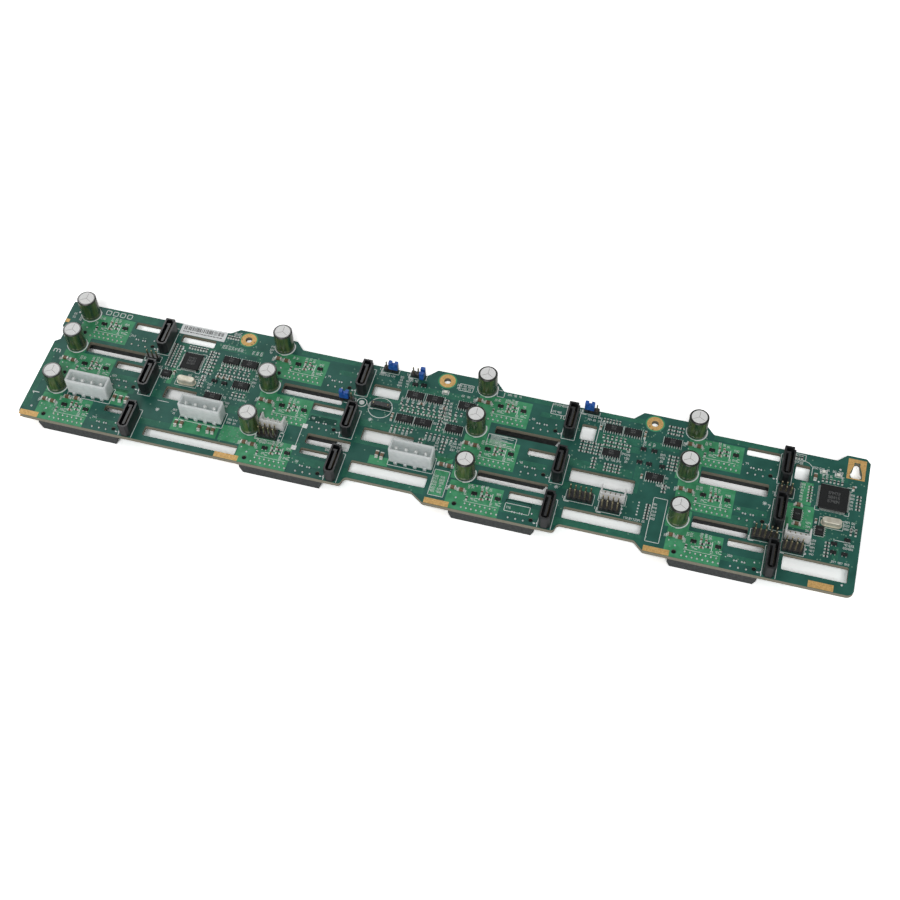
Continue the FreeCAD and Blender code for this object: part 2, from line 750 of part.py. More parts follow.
def chip(place, length, width, height):
    """A moulded chip with bevelled top edges and a dimple that marks its first pin."""
    x, y = at(*place)
    body = bevelled_block(x, y, length, width, board_top, board_top + height, chip_edge_bevel)
    dimple_x, dimple_y = x - length / 2 + 1.0, y - width / 2 + 1.0
    top = board_top + height
    return body.cut(cylinder(dimple_x, dimple_y, pin_one_dimple, top - dimple_depth, top + 1))


def crystal(place):
    """A metal can with round ends on a slightly larger flange."""
    x, y = at(*place)
    half, end = crystal_length / 2, crystal_width / 2 - 0.01
    flange = rounded_box(x - half, x + half, y - crystal_width / 2, y + crystal_width / 2,
                         board_top, board_top + crystal_flange, end)
    inset = crystal_flange
    can = rounded_box(x - half + inset, x + half - inset, y - crystal_width / 2 + inset,
                      y + crystal_width / 2 - inset, board_top, board_top + crystal_height, end - inset)
    top_edges = [edge for edge in can.Edges
                 if all(abs(v.Z - board_top - crystal_height) < 1e-6 for v in edge.Vertexes)]
    return flange.fuse(can.makeFillet(0.5, top_edges)).removeSplitter()


def transistor(x, y):
    return bevelled_block(x, y, transistor_length, transistor_width, board_top,
                          board_top + transistor_height, 0.15)


def ceramic(x, y, along_y):
    length, width = (ceramic_width, ceramic_length) if along_y else (ceramic_length, ceramic_width)
    return block(x, y, length, width, board_top, board_top + ceramic_height)


def label():
    x, y = at(*label_place)
    return rounded_box(x, x + label_length, y, y + label_width, board_top, board_top + label_thickness,
                       label_corner_radius)


# ---- Build every node ----

os.makedirs("parts", exist_ok=True)

write("circuit_board", circuit_board())

bay_contact_set = bay_contacts()
connector = drive_connector(bay_contact_set)
data_contact_set = [data_contact(y) for y in data_contact_rows()]
header = data_header(data_contact_set)
all_drive_contacts, all_data_contacts = [], []
for number, (column, row) in enumerate(bays(), 1):
    bay_x, bay_y = at(column, row, 0, 0)
    write(f"drive_connector_{number}", moved(connector, bay_x, bay_y))
    write(f"data_header_{number}", moved(header, bay_x, bay_y))
    all_drive_contacts += [moved(contact, bay_x, bay_y) for contact in bay_contact_set]
    all_data_contacts += [moved(contact, bay_x, bay_y) for contact in data_contact_set]
write("drive_contacts", *all_drive_contacts)
write("data_contacts", *all_data_contacts)

for number, place in enumerate(capacitors, 1):
    write(f"capacitor_{number}", capacitor(place))
for number, place in enumerate(power_connectors, 1):
    write(f"power_connector_{number}", power_connector(place))
write("power_pins", *[power_pin(x, y) for x, y in power_pin_places()])

for number, place in enumerate(fan_headers, 1):
    write(f"fan_header_{number}", fan_header(place))
write("fan_header_pins", *[square_pin(x, y, fan_height - fan_pin_below_rim) for x, y in fan_pin_places()])

bases = [header_base(place, header_cells(place)) for place in pin_headers]
bases.append(header_base(header_place_of_buzzer(), buzzer_pin_places()))
write("pin_header_bases", *bases)
pins = [square_pin(x, y, header_pin_height(place)) for place in pin_headers for x, y in header_cells(place)]
pins += [square_pin(x, y, header_base_height + 0.6) for x, y in buzzer_pin_places()]
write("header_pins", *pins)
write("jumper_caps", *[jumper_cap(*entry) for entry in jumper_caps])

write("controller_chip", chip(controller_chip, controller_side, controller_side, large_chip_height))
write("interface_chip", chip(interface_chip, interface_side, interface_side, large_chip_height))
write("logic_chips", *[chip(place, logic_length, logic_width, logic_height) for place in logic_chips])
write("memory_chips", *[chip(place[:4], place[4], place[5], logic_height) for place in memory_chips])
write("crystals", *[crystal(place) for place in crystals])

small = [at(*place) for place in transistors]
small += [at(column, row, x, y) for column, row in bays() for x, y in bay_transistors]
write("transistors", *[transistor(x, y) for x, y in small])
chips = [ceramic(*at(*place[:4]), place[4]) for place in ceramics]
for column, row in bays():
    if (column, row) != bay_without_ceramics:
        chips += [ceramic(*at(column, row, x, y), False) for x, y in bay_ceramics]
write("ceramic_capacitors", *chips)
write("status_leds", *[block(*at(*place), led_length, led_width, board_top, board_top + led_height)
                       for place in leds])
write("blank_label", label())
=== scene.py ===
"""Looks of the drive backplane board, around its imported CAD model.

Details are laid out in millimetres from the first bay's left locating hole, with z = 0 at the board's
top face. X runs along the board and Y towards its mounting tabs. spot() turns such a point into the frame.
"""
import json
import math
import random
from itertools import groupby
import bpy
from mathutils import Matrix, Vector
from mathutils.bvhtree import BVHTree


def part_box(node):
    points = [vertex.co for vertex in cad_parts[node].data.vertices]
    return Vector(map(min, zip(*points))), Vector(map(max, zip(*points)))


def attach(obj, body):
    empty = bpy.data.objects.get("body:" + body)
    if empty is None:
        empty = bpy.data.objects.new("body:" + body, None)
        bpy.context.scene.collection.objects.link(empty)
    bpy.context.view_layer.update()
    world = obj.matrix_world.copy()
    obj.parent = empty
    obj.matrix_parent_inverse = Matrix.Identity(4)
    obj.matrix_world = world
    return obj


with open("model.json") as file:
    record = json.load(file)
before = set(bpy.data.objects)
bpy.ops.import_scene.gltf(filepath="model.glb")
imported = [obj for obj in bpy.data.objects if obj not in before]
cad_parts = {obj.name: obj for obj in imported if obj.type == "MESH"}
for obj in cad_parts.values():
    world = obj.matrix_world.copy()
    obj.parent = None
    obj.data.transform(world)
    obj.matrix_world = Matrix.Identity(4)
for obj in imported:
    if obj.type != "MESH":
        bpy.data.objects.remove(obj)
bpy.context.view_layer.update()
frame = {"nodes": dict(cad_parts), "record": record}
nodes = frame["nodes"]
scene = bpy.context.scene
chance = random.Random(7)
MM = 0.001

# ---- The grid of bays, read from the frame ----

# The first data header's low corner, from its bay's left locating hole.
HEADER_FROM_HOLE = (42.9, -3.0)
board_low, board_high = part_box("circuit_board")
header_low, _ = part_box("data_header_1")
COLUMN_PITCH = (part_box("data_header_2")[0].x - header_low.x) / MM
ROW_PITCH = (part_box("data_header_5")[0].y - header_low.y) / MM
COLUMNS, ROWS = 4, 3
first_hole = Vector((header_low.x - HEADER_FROM_HOLE[0] * MM, header_low.y - HEADER_FROM_HOLE[1] * MM,
                     board_high.z))
THICKNESS = (board_high.z - board_low.z) / MM
UNDER = -THICKNESS


def spot(x, y, z=0.0):
    """The point of the frame that lies here, in millimetres from the first bay's left locating hole."""
    return first_hole + Vector((x, y, z)) * MM


def local(point):
    """A point of the frame, in millimetres from the first bay's left locating hole."""
    return (point - first_hole) / MM


def local_box(name):
    """The box of a CAD node, as (low, high) in local millimetres."""
    low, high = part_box(name)
    return local(low), local(high)


def bays():
    """Each bay's left locating hole."""
    return [(column * COLUMN_PITCH, row * ROW_PITCH) for row in range(ROWS) for column in range(COLUMNS)]


def islands(node):
    """The boxes of the separate solids in a CAD node, as (low, high) in local millimetres."""
    mesh = nodes[node].data
    parent = list(range(len(mesh.vertices)))

    def root(i):
        while parent[i] != i:
            parent[i] = parent[parent[i]]
            i = parent[i]
        return i

    seen = {}
    for vertex in mesh.vertices:
        key = tuple(round(c / MM, 3) for c in vertex.co)
        parent[root(vertex.index)] = root(seen.setdefault(key, vertex.index))
    for polygon in mesh.polygons:
        for v in polygon.vertices[1:]:
            parent[root(v)] = root(polygon.vertices[0])
    solids = {}
    for vertex in mesh.vertices:
        solids.setdefault(root(vertex.index), []).append(local(vertex.co))
    boxes = [[Vector(map(limit, zip(*points))) for limit in (min, max)] for points in solids.values()]
    return sorted(boxes, key=lambda box: (round(box[0].x, 2), round(box[0].y, 2)))


# ---- Shapes: each is a set of closed solids ----

class Shape:
    def __init__(self):
        self.points, self.faces = [], []

    def add(self, points, faces):
        start = len(self.points)
        self.points += points
        self.faces += [tuple(start + i for i in face) for face in faces]

    def swept(self, points):
        """A solid between two outlines, which are the first half of the points and the second half."""
        n = len(points) // 2
        sides = [(i, (i + 1) % n, n + (i + 1) % n, n + i) for i in range(n)]
        self.add(points, [tuple(range(n))[::-1], tuple(range(n, 2 * n))] + sides)

    def prism(self, outline, z0, z1):
        """An upright prism on an anticlockwise outline."""
        self.swept([(x, y, z) for z in (z0, z1) for x, y in outline])

    def extruded(self, profile, place, width):
        """A profile of (reach, z) points, swept sideways. place(reach, side) gives x and y."""
        self.swept([(*place(reach, side), z) for side in (-width / 2, width / 2) for reach, z in profile])

    def box(self, x0, x1, y0, y1, z0, z1):
        self.prism([(x0, y0), (x1, y0), (x1, y1), (x0, y1)], z0, z1)

    def line(self, x0, y0, x1, y1, width, z0, z1):
        """A straight bar, which passes both ends by half its width."""
        length = math.hypot(x1 - x0, y1 - y0)
        ux, uy = (x1 - x0) / length * width / 2, (y1 - y0) / length * width / 2
        self.prism([(x0 - ux + uy, y0 - uy - ux), (x1 + ux + uy, y1 + uy - ux),
                    (x1 + ux - uy, y1 + uy + ux), (x0 - ux - uy, y0 - uy + ux)], z0, z1)

    def disc(self, x, y, radius, z0, z1, sides):
        self.prism([(x + radius * math.cos(a), y + radius * math.sin(a)) for a in turns(sides)], z0, z1)

    def ring(self, x, y, inner, outer, z0, z1, start=0, end=360, sides=32):
        """A flat ring, or a stretch of one from one angle to another, in degrees."""
        steps = max(2, round(sides * (end - start) / 360))
        angles = [math.radians(start + (end - start) * i / steps) for i in range(steps + 1)]
        whole = end - start == 360
        points = []
        for a in angles[:-1] if whole else angles:
            c, s = math.cos(a), math.sin(a)
            points += [(x + r * c, y + r * s, z) for r, z in
                       ((inner, z0), (outer, z0), (outer, z1), (inner, z1))]
        n = len(points) // 4
        faces = []
        for i in range(n if whole else n - 1):
            a, b = 4 * i, 4 * ((i + 1) % n)
            faces += [(a + k, a + (k + 1) % 4, b + (k + 1) % 4, b + k) for k in range(4)]
        if not whole:
            faces += [(3, 2, 1, 0), (4 * n - 4, 4 * n - 3, 4 * n - 2, 4 * n - 1)]
        self.add(points, [face[::-1] for face in faces])

    def dome(self, x, y, radius_x, radius_y, z, height, sides=10):
        """A low solder dome, downwards if its height is negative."""
        points, faces, levels = [], [], 3
        for level in range(levels):
            lift = math.radians(90 * level / levels)
            for a in turns(sides):
                points.append((x + radius_x * math.cos(a) * math.cos(lift),
                               y + radius_y * math.sin(a) * math.cos(lift), z + height * math.sin(lift)))
        points.append((x, y, z + height))
        faces.append(tuple(range(sides))[::-1])
        for level in range(levels - 1):
            a, b = level * sides, (level + 1) * sides
            faces += [(a + i, a + (i + 1) % sides, b + (i + 1) % sides, b + i) for i in range(sides)]
        top = len(points) - 1
        a = (levels - 1) * sides
        faces += [(a + i, a + (i + 1) % sides, top) for i in range(sides)]
        self.add(points, [face[::-1] for face in faces] if height < 0 else faces)


def turns(sides):
    return [2 * math.pi * (i + 0.5) / sides for i in range(sides)]


def piece(name, shapes, look, smooth=False):
    """One Blender object from shapes of the same stuff, riding on the board."""
    whole = Shape()
    for shape in shapes:
        whole.add(shape.points, shape.faces)
    mesh = bpy.data.meshes.new(name)
    mesh.from_pydata([spot(*point) for point in whole.points], [], whole.faces)
    mesh.materials.append(look.material)
    if smooth:
        mesh.polygons.foreach_set("use_smooth", [True] * len(mesh.polygons))
    made = bpy.data.objects.new(name, mesh)
    scene.collection.objects.link(made)
    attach(made, "root")


# ---- Materials ----

def rgb(red, green, blue):
    """A colour as it shows on screen, from 0 to 255, in the linear values that shaders take."""
    values = [c / 255 for c in (red, green, blue)]
    return (*[c / 12.92 if c <= 0.04045 else ((c + 0.055) / 1.055) ** 2.4 for c in values], 1.0)


class Look:
    """A material and short ways to add nodes to it."""

    def __init__(self, name, roughness, metallic=0.0, coat=0.0, specular=0.5):
        self.material = bpy.data.materials.new(name)
        self.material.use_nodes = True
        self.tree = self.material.node_tree
        self.shader = self.tree.nodes["Principled BSDF"]
        for key, value in (("Roughness", roughness), ("Metallic", metallic), ("Coat Weight", coat),
                           ("Coat Roughness", 0.12), ("Specular IOR Level", specular)):
            self.shader.inputs[key].default_value = value
        self.coordinates = self.tree.nodes.new("ShaderNodeTexCoord")

    def link(self, source, socket):
        """Feeds a socket from a node's output, or with a plain value."""
        if isinstance(source, (int, float, tuple)):
            socket.default_value = source
        else:
            self.tree.links.new(source, socket)

    def node(self, kind, **values):
        made = self.tree.nodes.new(kind)
        for key, value in values.items():
            if key in made.inputs:
                made.inputs[key].default_value = value
            else:
                setattr(made, key, value)
        return made

    def noise(self, size, detail=3.0, stretch=(1, 1, 1)):
        """Noise whose blots are about this many millimetres across."""
        mapping = self.node("ShaderNodeMapping")
        mapping.inputs["Scale"].default_value = stretch
        self.link(self.coordinates.outputs["Object"], mapping.inputs["Vector"])
        made = self.node("ShaderNodeTexNoise", Scale=1 / (size * MM), Detail=detail)
        self.link(mapping.outputs["Vector"], made.inputs["Vector"])
        return made.outputs["Fac"]

    def ramp(self, value, dark, light, low=0.35, high=0.65):
        """A blend from dark to light as the value goes from low to high."""
        made = self.node("ShaderNodeValToRGB")
        made.color_ramp.elements[0].position, made.color_ramp.elements[1].position = low, high
        made.color_ramp.elements[0].color, made.color_ramp.elements[1].color = dark, light
        self.link(value, made.inputs["Fac"])
        return made.outputs["Color"]

    def mix(self, share, first, second):
        """The first colour where the share is 0, and the second where it is 1."""
        made = self.node("ShaderNodeMix", data_type="RGBA")
        for value, socket in ((share, "Factor"), (first, 6), (second, 7)):
            self.link(value, made.inputs[socket])
        return made.outputs[2]

    def math(self, operation, *values):
        made = self.node("ShaderNodeMath", operation=operation)
        for value, socket in zip(values, made.inputs):
            self.link(value, socket)
        return made.outputs[0]

    def axis(self, source, name):
        made = self.node("ShaderNodeSeparateXYZ")
        self.link(source, made.inputs[0])
        return made.outputs[name]

    def colour(self, value):
        self.link(value, self.shader.inputs["Base Color"])

    def rough(self, value, low, high):
        """Roughness from low to high as the value goes from 0 to 1."""
        made = self.node("ShaderNodeMapRange")
        made.inputs["To Min"].default_value, made.inputs["To Max"].default_value = low, high
        self.link(value, made.inputs["Value"])
        self.link(made.outputs["Result"], self.shader.inputs["Roughness"])

    def bump(self, value, depth):
        """Relief of this depth in millimetres. It is the last step of a look, so it returns the look."""
        made = self.node("ShaderNodeBump", Distance=depth * MM, Strength=1.0)
        self.link(value, made.inputs["Height"])
        self.link(made.outputs["Normal"], self.shader.inputs["Normal"])
        return self


def plain(name, dark, light, blot, roughness, depth=0.01, metallic=0.0, coat=0.0, specular=0.5, grain=0.25):
    """A surface of two close colours in blots, with a fine grain in its relief and its gloss."""
    look = Look(name, roughness, metallic, coat, specular)
    look.colour(look.ramp(look.noise(blot), rgb(*dark), rgb(*light)))
    fine = look.noise(grain, 4.0)
    look.rough(fine, roughness - 0.08, roughness + 0.08)
    return look.bump(fine, depth)


# The pitch of the glass weave and of the layers on the cut edges, in millimetres, and the wave texture's
# scale for a pitch of one.
WEAVE_PITCH, LAYER_PITCH = 0.55, 0.4
BANDS_SCALE = 0.31


def board_look(name, dark, light, edge_dark, edge_light):
    """Solder mask over a glass weave on the faces, and bare glass-epoxy layers on the cut edges."""
    look = Look(name, 0.42, specular=0.25)
    patches = look.ramp(look.noise(9.0, 4.0), rgb(*dark), rgb(*light), 0.3, 0.7)

    def bands(direction, pitch, distortion):
        wave = look.node("ShaderNodeTexWave", Scale=BANDS_SCALE / (pitch * MM), Distortion=distortion)
        wave.bands_direction = direction
        look.link(look.coordinates.outputs["Object"], wave.inputs["Vector"])
        return wave.outputs["Fac"]

    weave = look.math("MULTIPLY", bands("X", WEAVE_PITCH, 0.6), bands("Y", WEAVE_PITCH, 0.6))
    layers = look.math("MULTIPLY", look.noise(1.6, 5.0, (1, 1, 3)), bands("Z", LAYER_PITCH, 1.5))
    edge = look.mix(layers, rgb(*edge_dark), rgb(*edge_light))
    geometry = look.node("ShaderNodeNewGeometry")
    upright = look.math("ABSOLUTE", look.axis(geometry.outputs["True Normal"], "Z"))
    flat = look.math("GREATER_THAN", upright, 0.5)
    look.colour(look.mix(flat, edge, patches))
    look.rough(look.math("MULTIPLY", weave, flat), 0.45, 0.36)
    return look.bump(look.math("ADD", weave, look.noise(0.3, 3.0)), 0.012)


# Bands of a capacitor, in millimetres: how far its sleeve reaches over the top's edge, how far below the
# top the sleeve starts to turn over, how deep the scores lie, which get painted shade, and how high the dark
# band at its base is.
CAN_RIM, CAN_EDGE, CAN_SCORE, CAN_BASE = 1.05, 0.5, 0.24, 1.0


def capacitor_look():
    """A glossy printed sleeve, a bare can top inside its rolled edge, and tinned leads below."""
    look = Look("capacitor_sleeve_and_can", 0.3, coat=0.7)
    can_low, can_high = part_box("capacitor_1")
    generated = look.coordinates.outputs["Generated"]
    height = look.axis(look.coordinates.outputs["Object"], "Z")
    centred = look.node("ShaderNodeVectorMath", operation="SUBTRACT")
    centred.inputs[1].default_value = (0.5, 0.5, 0.0)
    look.link(generated, centred.inputs[0])
    across = look.math("POWER", look.axis(centred.outputs[0], "X"), 2.0)
    along = look.math("POWER", look.axis(centred.outputs[0], "Y"), 2.0)
    radius = look.math("SQRT", look.math("ADD", across, along))
    diameter = (can_high.x - can_low.x) / MM
    near_top = look.math("GREATER_THAN", height, can_high.z - CAN_EDGE * MM)
    inside = look.math("LESS_THAN", radius, 0.5 - CAN_RIM / diameter)
    top = look.math("MULTIPLY", near_top, inside)
    lead = look.math("LESS_THAN", height, board_high.z - 0.05 * MM)
    metal = look.math("MAXIMUM", top, lead)
    # The sleeve runs in vertical streaks from its dark green to olive: the olive streaks are painted
    # reflection.
    olive_reflection_streaks = look.noise(2.0, 3.0, (1, 1, 0.15))
    sleeve = look.ramp(olive_reflection_streaks, rgb(34, 62, 40), rgb(96, 112, 58), 0.35, 0.75)
    base_band = look.math("LESS_THAN", height, board_high.z + CAN_BASE * MM)
    sleeve = look.mix(base_band, sleeve, rgb(20, 32, 24))
    sleeve = look.mix(near_top, sleeve, rgb(18, 26, 18))
    scratched_top_and_score_shade = look.ramp(look.noise(0.5, 5.0, (1, 3, 1)), rgb(228, 229, 228), rgb(250, 250, 249))
    # The sunken scores get a darker grey: painted shade in the grooves.
    score_shade = look.math("LESS_THAN", height, can_high.z - CAN_SCORE * MM)
    scratched_top_and_score_shade = look.mix(score_shade, scratched_top_and_score_shade, rgb(168, 168, 165))
    look.colour(look.mix(metal, sleeve, scratched_top_and_score_shade))
    look.link(look.math("MULTIPLY", metal, 0.2), look.shader.inputs["Metallic"])
    glossy = look.math("SUBTRACT", 1.0, metal)
    look.link(look.math("MULTIPLY", glossy, 0.7), look.shader.inputs["Coat Weight"])
    look.rough(metal, 0.26, 0.62)
    return look.bump(look.noise(0.4, 4.0), 0.01)


# Looks of the added pieces, and those that need more than one line.
pour_green = plain("mask_over_copper", (60, 143, 98), (79, 162, 117), 4.0, 0.45, specular=0.25)
trace_green = plain("mask_over_traces", (44, 114, 88), (60, 134, 104), 3.0, 0.45, specular=0.25)
via_ring = plain("via_rings", (108, 158, 134), (150, 186, 166), 1.2, 0.45)
via_dark = plain("via_holes", (20, 44, 36), (34, 62, 52), 1.0, 0.5)
ink = plain("screen_print", (226, 232, 228), (246, 248, 246), 0.8, 0.6, 0.006)
gold = plain("gold_plate", (202, 160, 96), (232, 190, 122), 0.7, 0.5, 0.02, metallic=0.3, grain=0.35)
solder = plain("solder_joints", (196, 200, 200), (236, 238, 238), 0.6, 0.3, metallic=0.5)
pad_tin = plain("solder_pads", (196, 200, 198), (232, 234, 232), 0.6, 0.4, metallic=0.3)
tin = plain("tinned_leads", (184, 188, 186), (226, 228, 224), 0.8, 0.35, metallic=0.5)
# Black for the pegs' ends is painted shade of their holes, not the pegs' own colour.
peg_shade_black = plain("peg_ends", (10, 10, 11), (22, 22, 24), 0.5, 0.6, specular=0.2)
power_white = plain("moulded_pale", (218, 230, 230), (232, 242, 242), 3.0, 0.5, 0.015)
fan_white = plain("moulded_white", (251, 251, 250), (255, 255, 254), 2.5, 0.5, 0.012)
resistor_black = plain("resistor_top", (22, 22, 26), (46, 44, 48), 0.4, 0.4)
ceramic_tan = plain("fired_ceramic", (92, 72, 54), (134, 106, 80), 0.7, 0.5)
end_silver = plain("fired_ends", (184, 187, 180), (226, 229, 222), 0.4, 0.4, metallic=0.3)
label_ink = plain("label_print", (30, 30, 32), (60, 60, 62), 0.5, 0.6, 0.005)
etched = plain("chip_mark", (96, 98, 98), (124, 126, 126), 0.5, 0.6, 0.005)

# Pale nylon lets light through its walls.
for look in (power_white, fan_white):
    look.shader.inputs["Subsurface Weight"].default_value = 0.9
    look.shader.inputs["Subsurface Radius"].default_value = (1.0, 1.0, 1.0)
    look.shader.inputs["Subsurface Scale"].default_value = 8 * MM

# What each look covers, by the starts of the nodes' names. The first that fits counts.
LOOKS = [
    (board_look("solder_mask", (31, 86, 75), (45, 104, 92), (118, 112, 96), (188, 184, 166)),
     "circuit_board"),
    (plain("drive_connector_black", (48, 52, 52), (70, 74, 74), 1.2, 0.5, 0.02), "drive_connector_"),
    (plain("plated_contacts", (190, 150, 84), (226, 186, 118), 0.6, 0.3, metallic=0.85),
     "drive_contacts"),
    (plain("header_contacts", (84, 76, 60), (122, 110, 86), 0.6, 0.35, metallic=0.5), "data_contacts"),
    (plain("tinned_pins", (206, 210, 208), (236, 238, 236), 0.8, 0.3, 0.008, metallic=0.3), "power_pins"),
    (plain("plated_pins", (132, 122, 96), (186, 176, 144), 0.8, 0.28, 0.008, metallic=0.85),
     "fan_header_pins", "header_pins"),
    (plain("moulded_black", (15, 16, 18), (31, 33, 36), 1.5, 0.36, 0.015, specular=0.7),
     "pin_header_bases", "data_header_"),
    (plain("moulded_blue", (20, 74, 152), (36, 100, 190), 1.2, 0.38, 0.015, coat=0.2), "jumper_caps"),
    (plain("crystal_can", (196, 190, 172), (224, 220, 204), 1.8, 0.38, 0.012, metallic=0.4), "crystals"),
    (plain("chip_epoxy", (18, 20, 21), (36, 38, 39), 0.6, 0.55, 0.02, specular=0.3),
     "controller_chip", "interface_chip", "logic_chips", "memory_chips", "transistors"),
    (plain("led_lens", (236, 236, 222), (250, 250, 242), 0.5, 0.25, 0.006, coat=0.5), "status_leds"),
    (plain("label_paper", (226, 231, 231), (238, 241, 241), 2.0, 0.7, specular=0.2), "blank_label"),
    (capacitor_look(), "capacitor_"), (ceramic_tan, "ceramic_capacitors"),
    (power_white, "power_connector_"), (fan_white, "fan_header_"),
]
for name, node in nodes.items():
    look = next(look for look, *starts in LOOKS if name.startswith(tuple(starts)))
    node.data.materials.clear()
    node.data.materials.append(look.material)

# ---- Levels of what is printed and plated on the board, in millimetres above its top face ----

SUNK = -0.02
TRACE_TOP, POUR_TOP, PLATE_TOP, PAD_TOP, INK_TOP = 0.025, 0.03, 0.04, 0.05, 0.06


# ---- Where there is bare board ----

def tree_of_nodes():
    points, faces = [], []
    for node in nodes.values():
        start = len(points)
        points += [vertex.co.copy() for vertex in node.data.vertices]
        faces += [[start + v for v in polygon.vertices] for polygon in node.data.polygons]
    return BVHTree.FromPolygons(points, faces)


everything = tree_of_nodes()
# Rays start this far from the board, and may miss its face by this much, in millimetres.
RAY_START, FACE_PLAY = 30.0, 0.03


def bare(x, y, reach_x, reach_y, below=False):
    """Whether nothing but board shows at this place, and round it."""
    start, way = (-RAY_START, 1) if below else (RAY_START, -1)
    for dx in (-reach_x, 0, reach_x):
        for dy in (-reach_y, 0, reach_y):
            hit = everything.ray_cast(spot(x + dx, y + dy, start), Vector((0, 0, way)))[0]
            if hit is None or abs(local(hit).z - (UNDER if below else 0.0)) > FACE_PLAY:
                return False
    return True


# A printed line is tested for bare board at about this spacing, and this far to each side.
PATH_STEP, PATH_REACH = 0.8, 0.25
TRACE_WIDTH = 0.25


class Print:
    """Flat shapes on one face of the board, left out wherever something else is in their way."""

    def __init__(self, top, below=False):
        self.shape, self.below = Shape(), below
        self.z0, self.z1 = (UNDER - top, UNDER - SUNK) if below else (SUNK, top)

    def path(self, points, width):
        """A line that stops at openings, edges and components."""
        for (x0, y0), (x1, y1) in zip(points, points[1:]):
            count = max(1, round(math.hypot(x1 - x0, y1 - y0) / PATH_STEP))
            steps = [(x0 + (x1 - x0) * i / count, y0 + (y1 - y0) * i / count) for i in range(count + 1)]
            for clear, run in groupby(steps, lambda step: bare(*step, PATH_REACH, PATH_REACH, self.below)):
                run = list(run)
                if clear and len(run) > 1:
                    self.shape.line(*run[0], *run[-1], width, self.z0, self.z1)

    def bundle(self, points, count, pitch):
        """Traces side by side, stepped along the normal of the whole run."""
        (xa, ya), (xb, yb) = points[0], points[-1]
        length = math.hypot(xb - xa, yb - ya)
        nx, ny = -(yb - ya) / length * pitch, (xb - xa) / length * pitch
        for i in range(count):
            self.path([(x + nx * i, y + ny * i) for x, y in points], TRACE_WIDTH)

    def frame(self, x0, x1, y0, y1, width):
        self.path([(x0, y0), (x1, y0), (x1, y1), (x0, y1), (x0, y0)], width)

    def pad(self, x, y, width, depth, margin=0.0):
        """A rectangle, whose edge may lie under something by the margin."""
        if bare(x, y, max(0.05, width / 2 - margin), max(0.05, depth / 2 - margin), self.below):
            self.shape.box(x - width / 2, x + width / 2, y - depth / 2, y + depth / 2, self.z0, self.z1)

    def disc(self, x, y, radius, sides=12):
        if bare(x, y, radius, radius, self.below):
            self.shape.disc(x, y, radius, self.z0, self.z1, sides)

    def ring(self, x, y, inner, outer, start=0, end=360):
        self.shape.ring(x, y, inner, outer, self.z0, self.z1, start, end)


# Plain numerals, 0 to 9: the strokes of a pen between points of a grid two wide and four high.
NUMERALS = [
    [(*map(int, a), *map(int, b)) for line in code.split(",") for a, b in zip(line.split(), line.split()[1:])]
    for code in ("00 20 24 04 00", "10 14,03 14", "04 24 22 02 00 20", "04 24 20,00 20,02 22",
                 "04 02 22,24 20", "24 04 02 22 20 00", "24 04 00 20 22 02", "04 24 10",
                 "00 20 24 04 00,02 22", "22 02 04 24 20")
]


def strokes(text, height):
    """The length of a plain number, and its strokes as (x0, y0, x1, y1) from its centre."""
    step, grid = height * 0.78, height / 4
    length = step * (len(text) - 1) + 2 * grid
    return length, [(place * step + x0 * grid - length / 2, y0 * grid - height / 2,
                     place * step + x1 * grid - length / 2, y1 * grid - height / 2)
                    for place, numeral in enumerate(text) for x0, y0, x1, y1 in NUMERALS[int(numeral)]]


def number(target, text, x, y, height, upright=False, width=0.16):
    """A plain number centred at a place. Upright, it reads from the front to the rear."""
    length, lines = strokes(text, height)
    reach = (height / 2, length / 2) if upright else (length / 2, height / 2)
    if not bare(x, y, *reach, target.below):
        return
    for a0, b0, a1, b1 in lines:
        if target.below:
            a0, a1 = -a0, -a1
        ends = (x - b0, y + a0, x - b1, y + a1) if upright else (x + a0, y + b0, x + a1, y + b1)
        target.shape.line(*ends, width, target.z0, target.z1)


def digits(count=None):
    """Some digits by chance, two or three unless told how many."""
    return "".join(chance.choice("0123456789") for _ in range(count or chance.choice((2, 3, 3))))


def laid_out(groups, x=0, y=0):
    """Every place of these groups, as (x, y, upright).

    A group is (left, front, upright, columns, step along X, rows, step along Y). One that leaves out its
    last values is a single row, or a single place.
    """
    for left, front, *rest in groups:
        upright, columns, step_x, rows, step_y = (*rest, *(0, 1, 0, 1, 0)[len(rest):])
        for row in range(rows):
            for column in range(columns):
                yield x + left + column * step_x, y + front + row * step_y, upright


# ---- Copper under the mask ----

# In each row of bays the pour lies under the power contacts: (left, right, front, rear) from the hole.
BAY_POURS = [(-5, 22.2, -3.2, 13.4), (-5, 23.6, -2.4, 14.4), (-3.6, 24, -2.8, 13.4)]
OTHER_POURS = [
    (92.2, 104.2, 7, 16.6), (66.3, 91, 7, 14.8), (30.2, 37.4, 14.2, 24.2), (170.2, 180.4, 12.4, 17.4),
    (204.4, 211.5, 2.2, 17.2), (203.2, 211.6, 22.2, 25), (376.4, 390, 27.8, 41.6), (382, 387.8, 42, 55.4),
    (214, 224.4, 38.8, 52), (320.8, 332.6, 13.4, 24.4), (212.8, 221.5, 14.4, 24.6), (104, 112.5, 39.5, 50.6),
    (54, 56.6, 34, 44), (-4, 5.2, 42, 52.4), (-5, 4.6, 14, 24.2), (320.6, 332.4, 41.8, 52.2),
    (103.8, 112.6, 14, 24.2),
]
# Half the opening in a pour for a peg, the distance between a bay's two pegs, and the black disc on a peg's
# end, down in its hole: painted shade, since the peg itself is the drive connector's grey plastic.
PEG_CLEAR = 1.6
PEG_SPACING = 38.7
PEG_SHADE_RADIUS, PEG_SHADE_LOW, PEG_SHADE_HIGH = 0.98, -0.45, -0.36
# The inner and outer radius of the gold round a mounting hole, and of the pour round that gold.
GOLD_RING, POUR_RING = (1.8, 4.2), (4.1, 4.9)


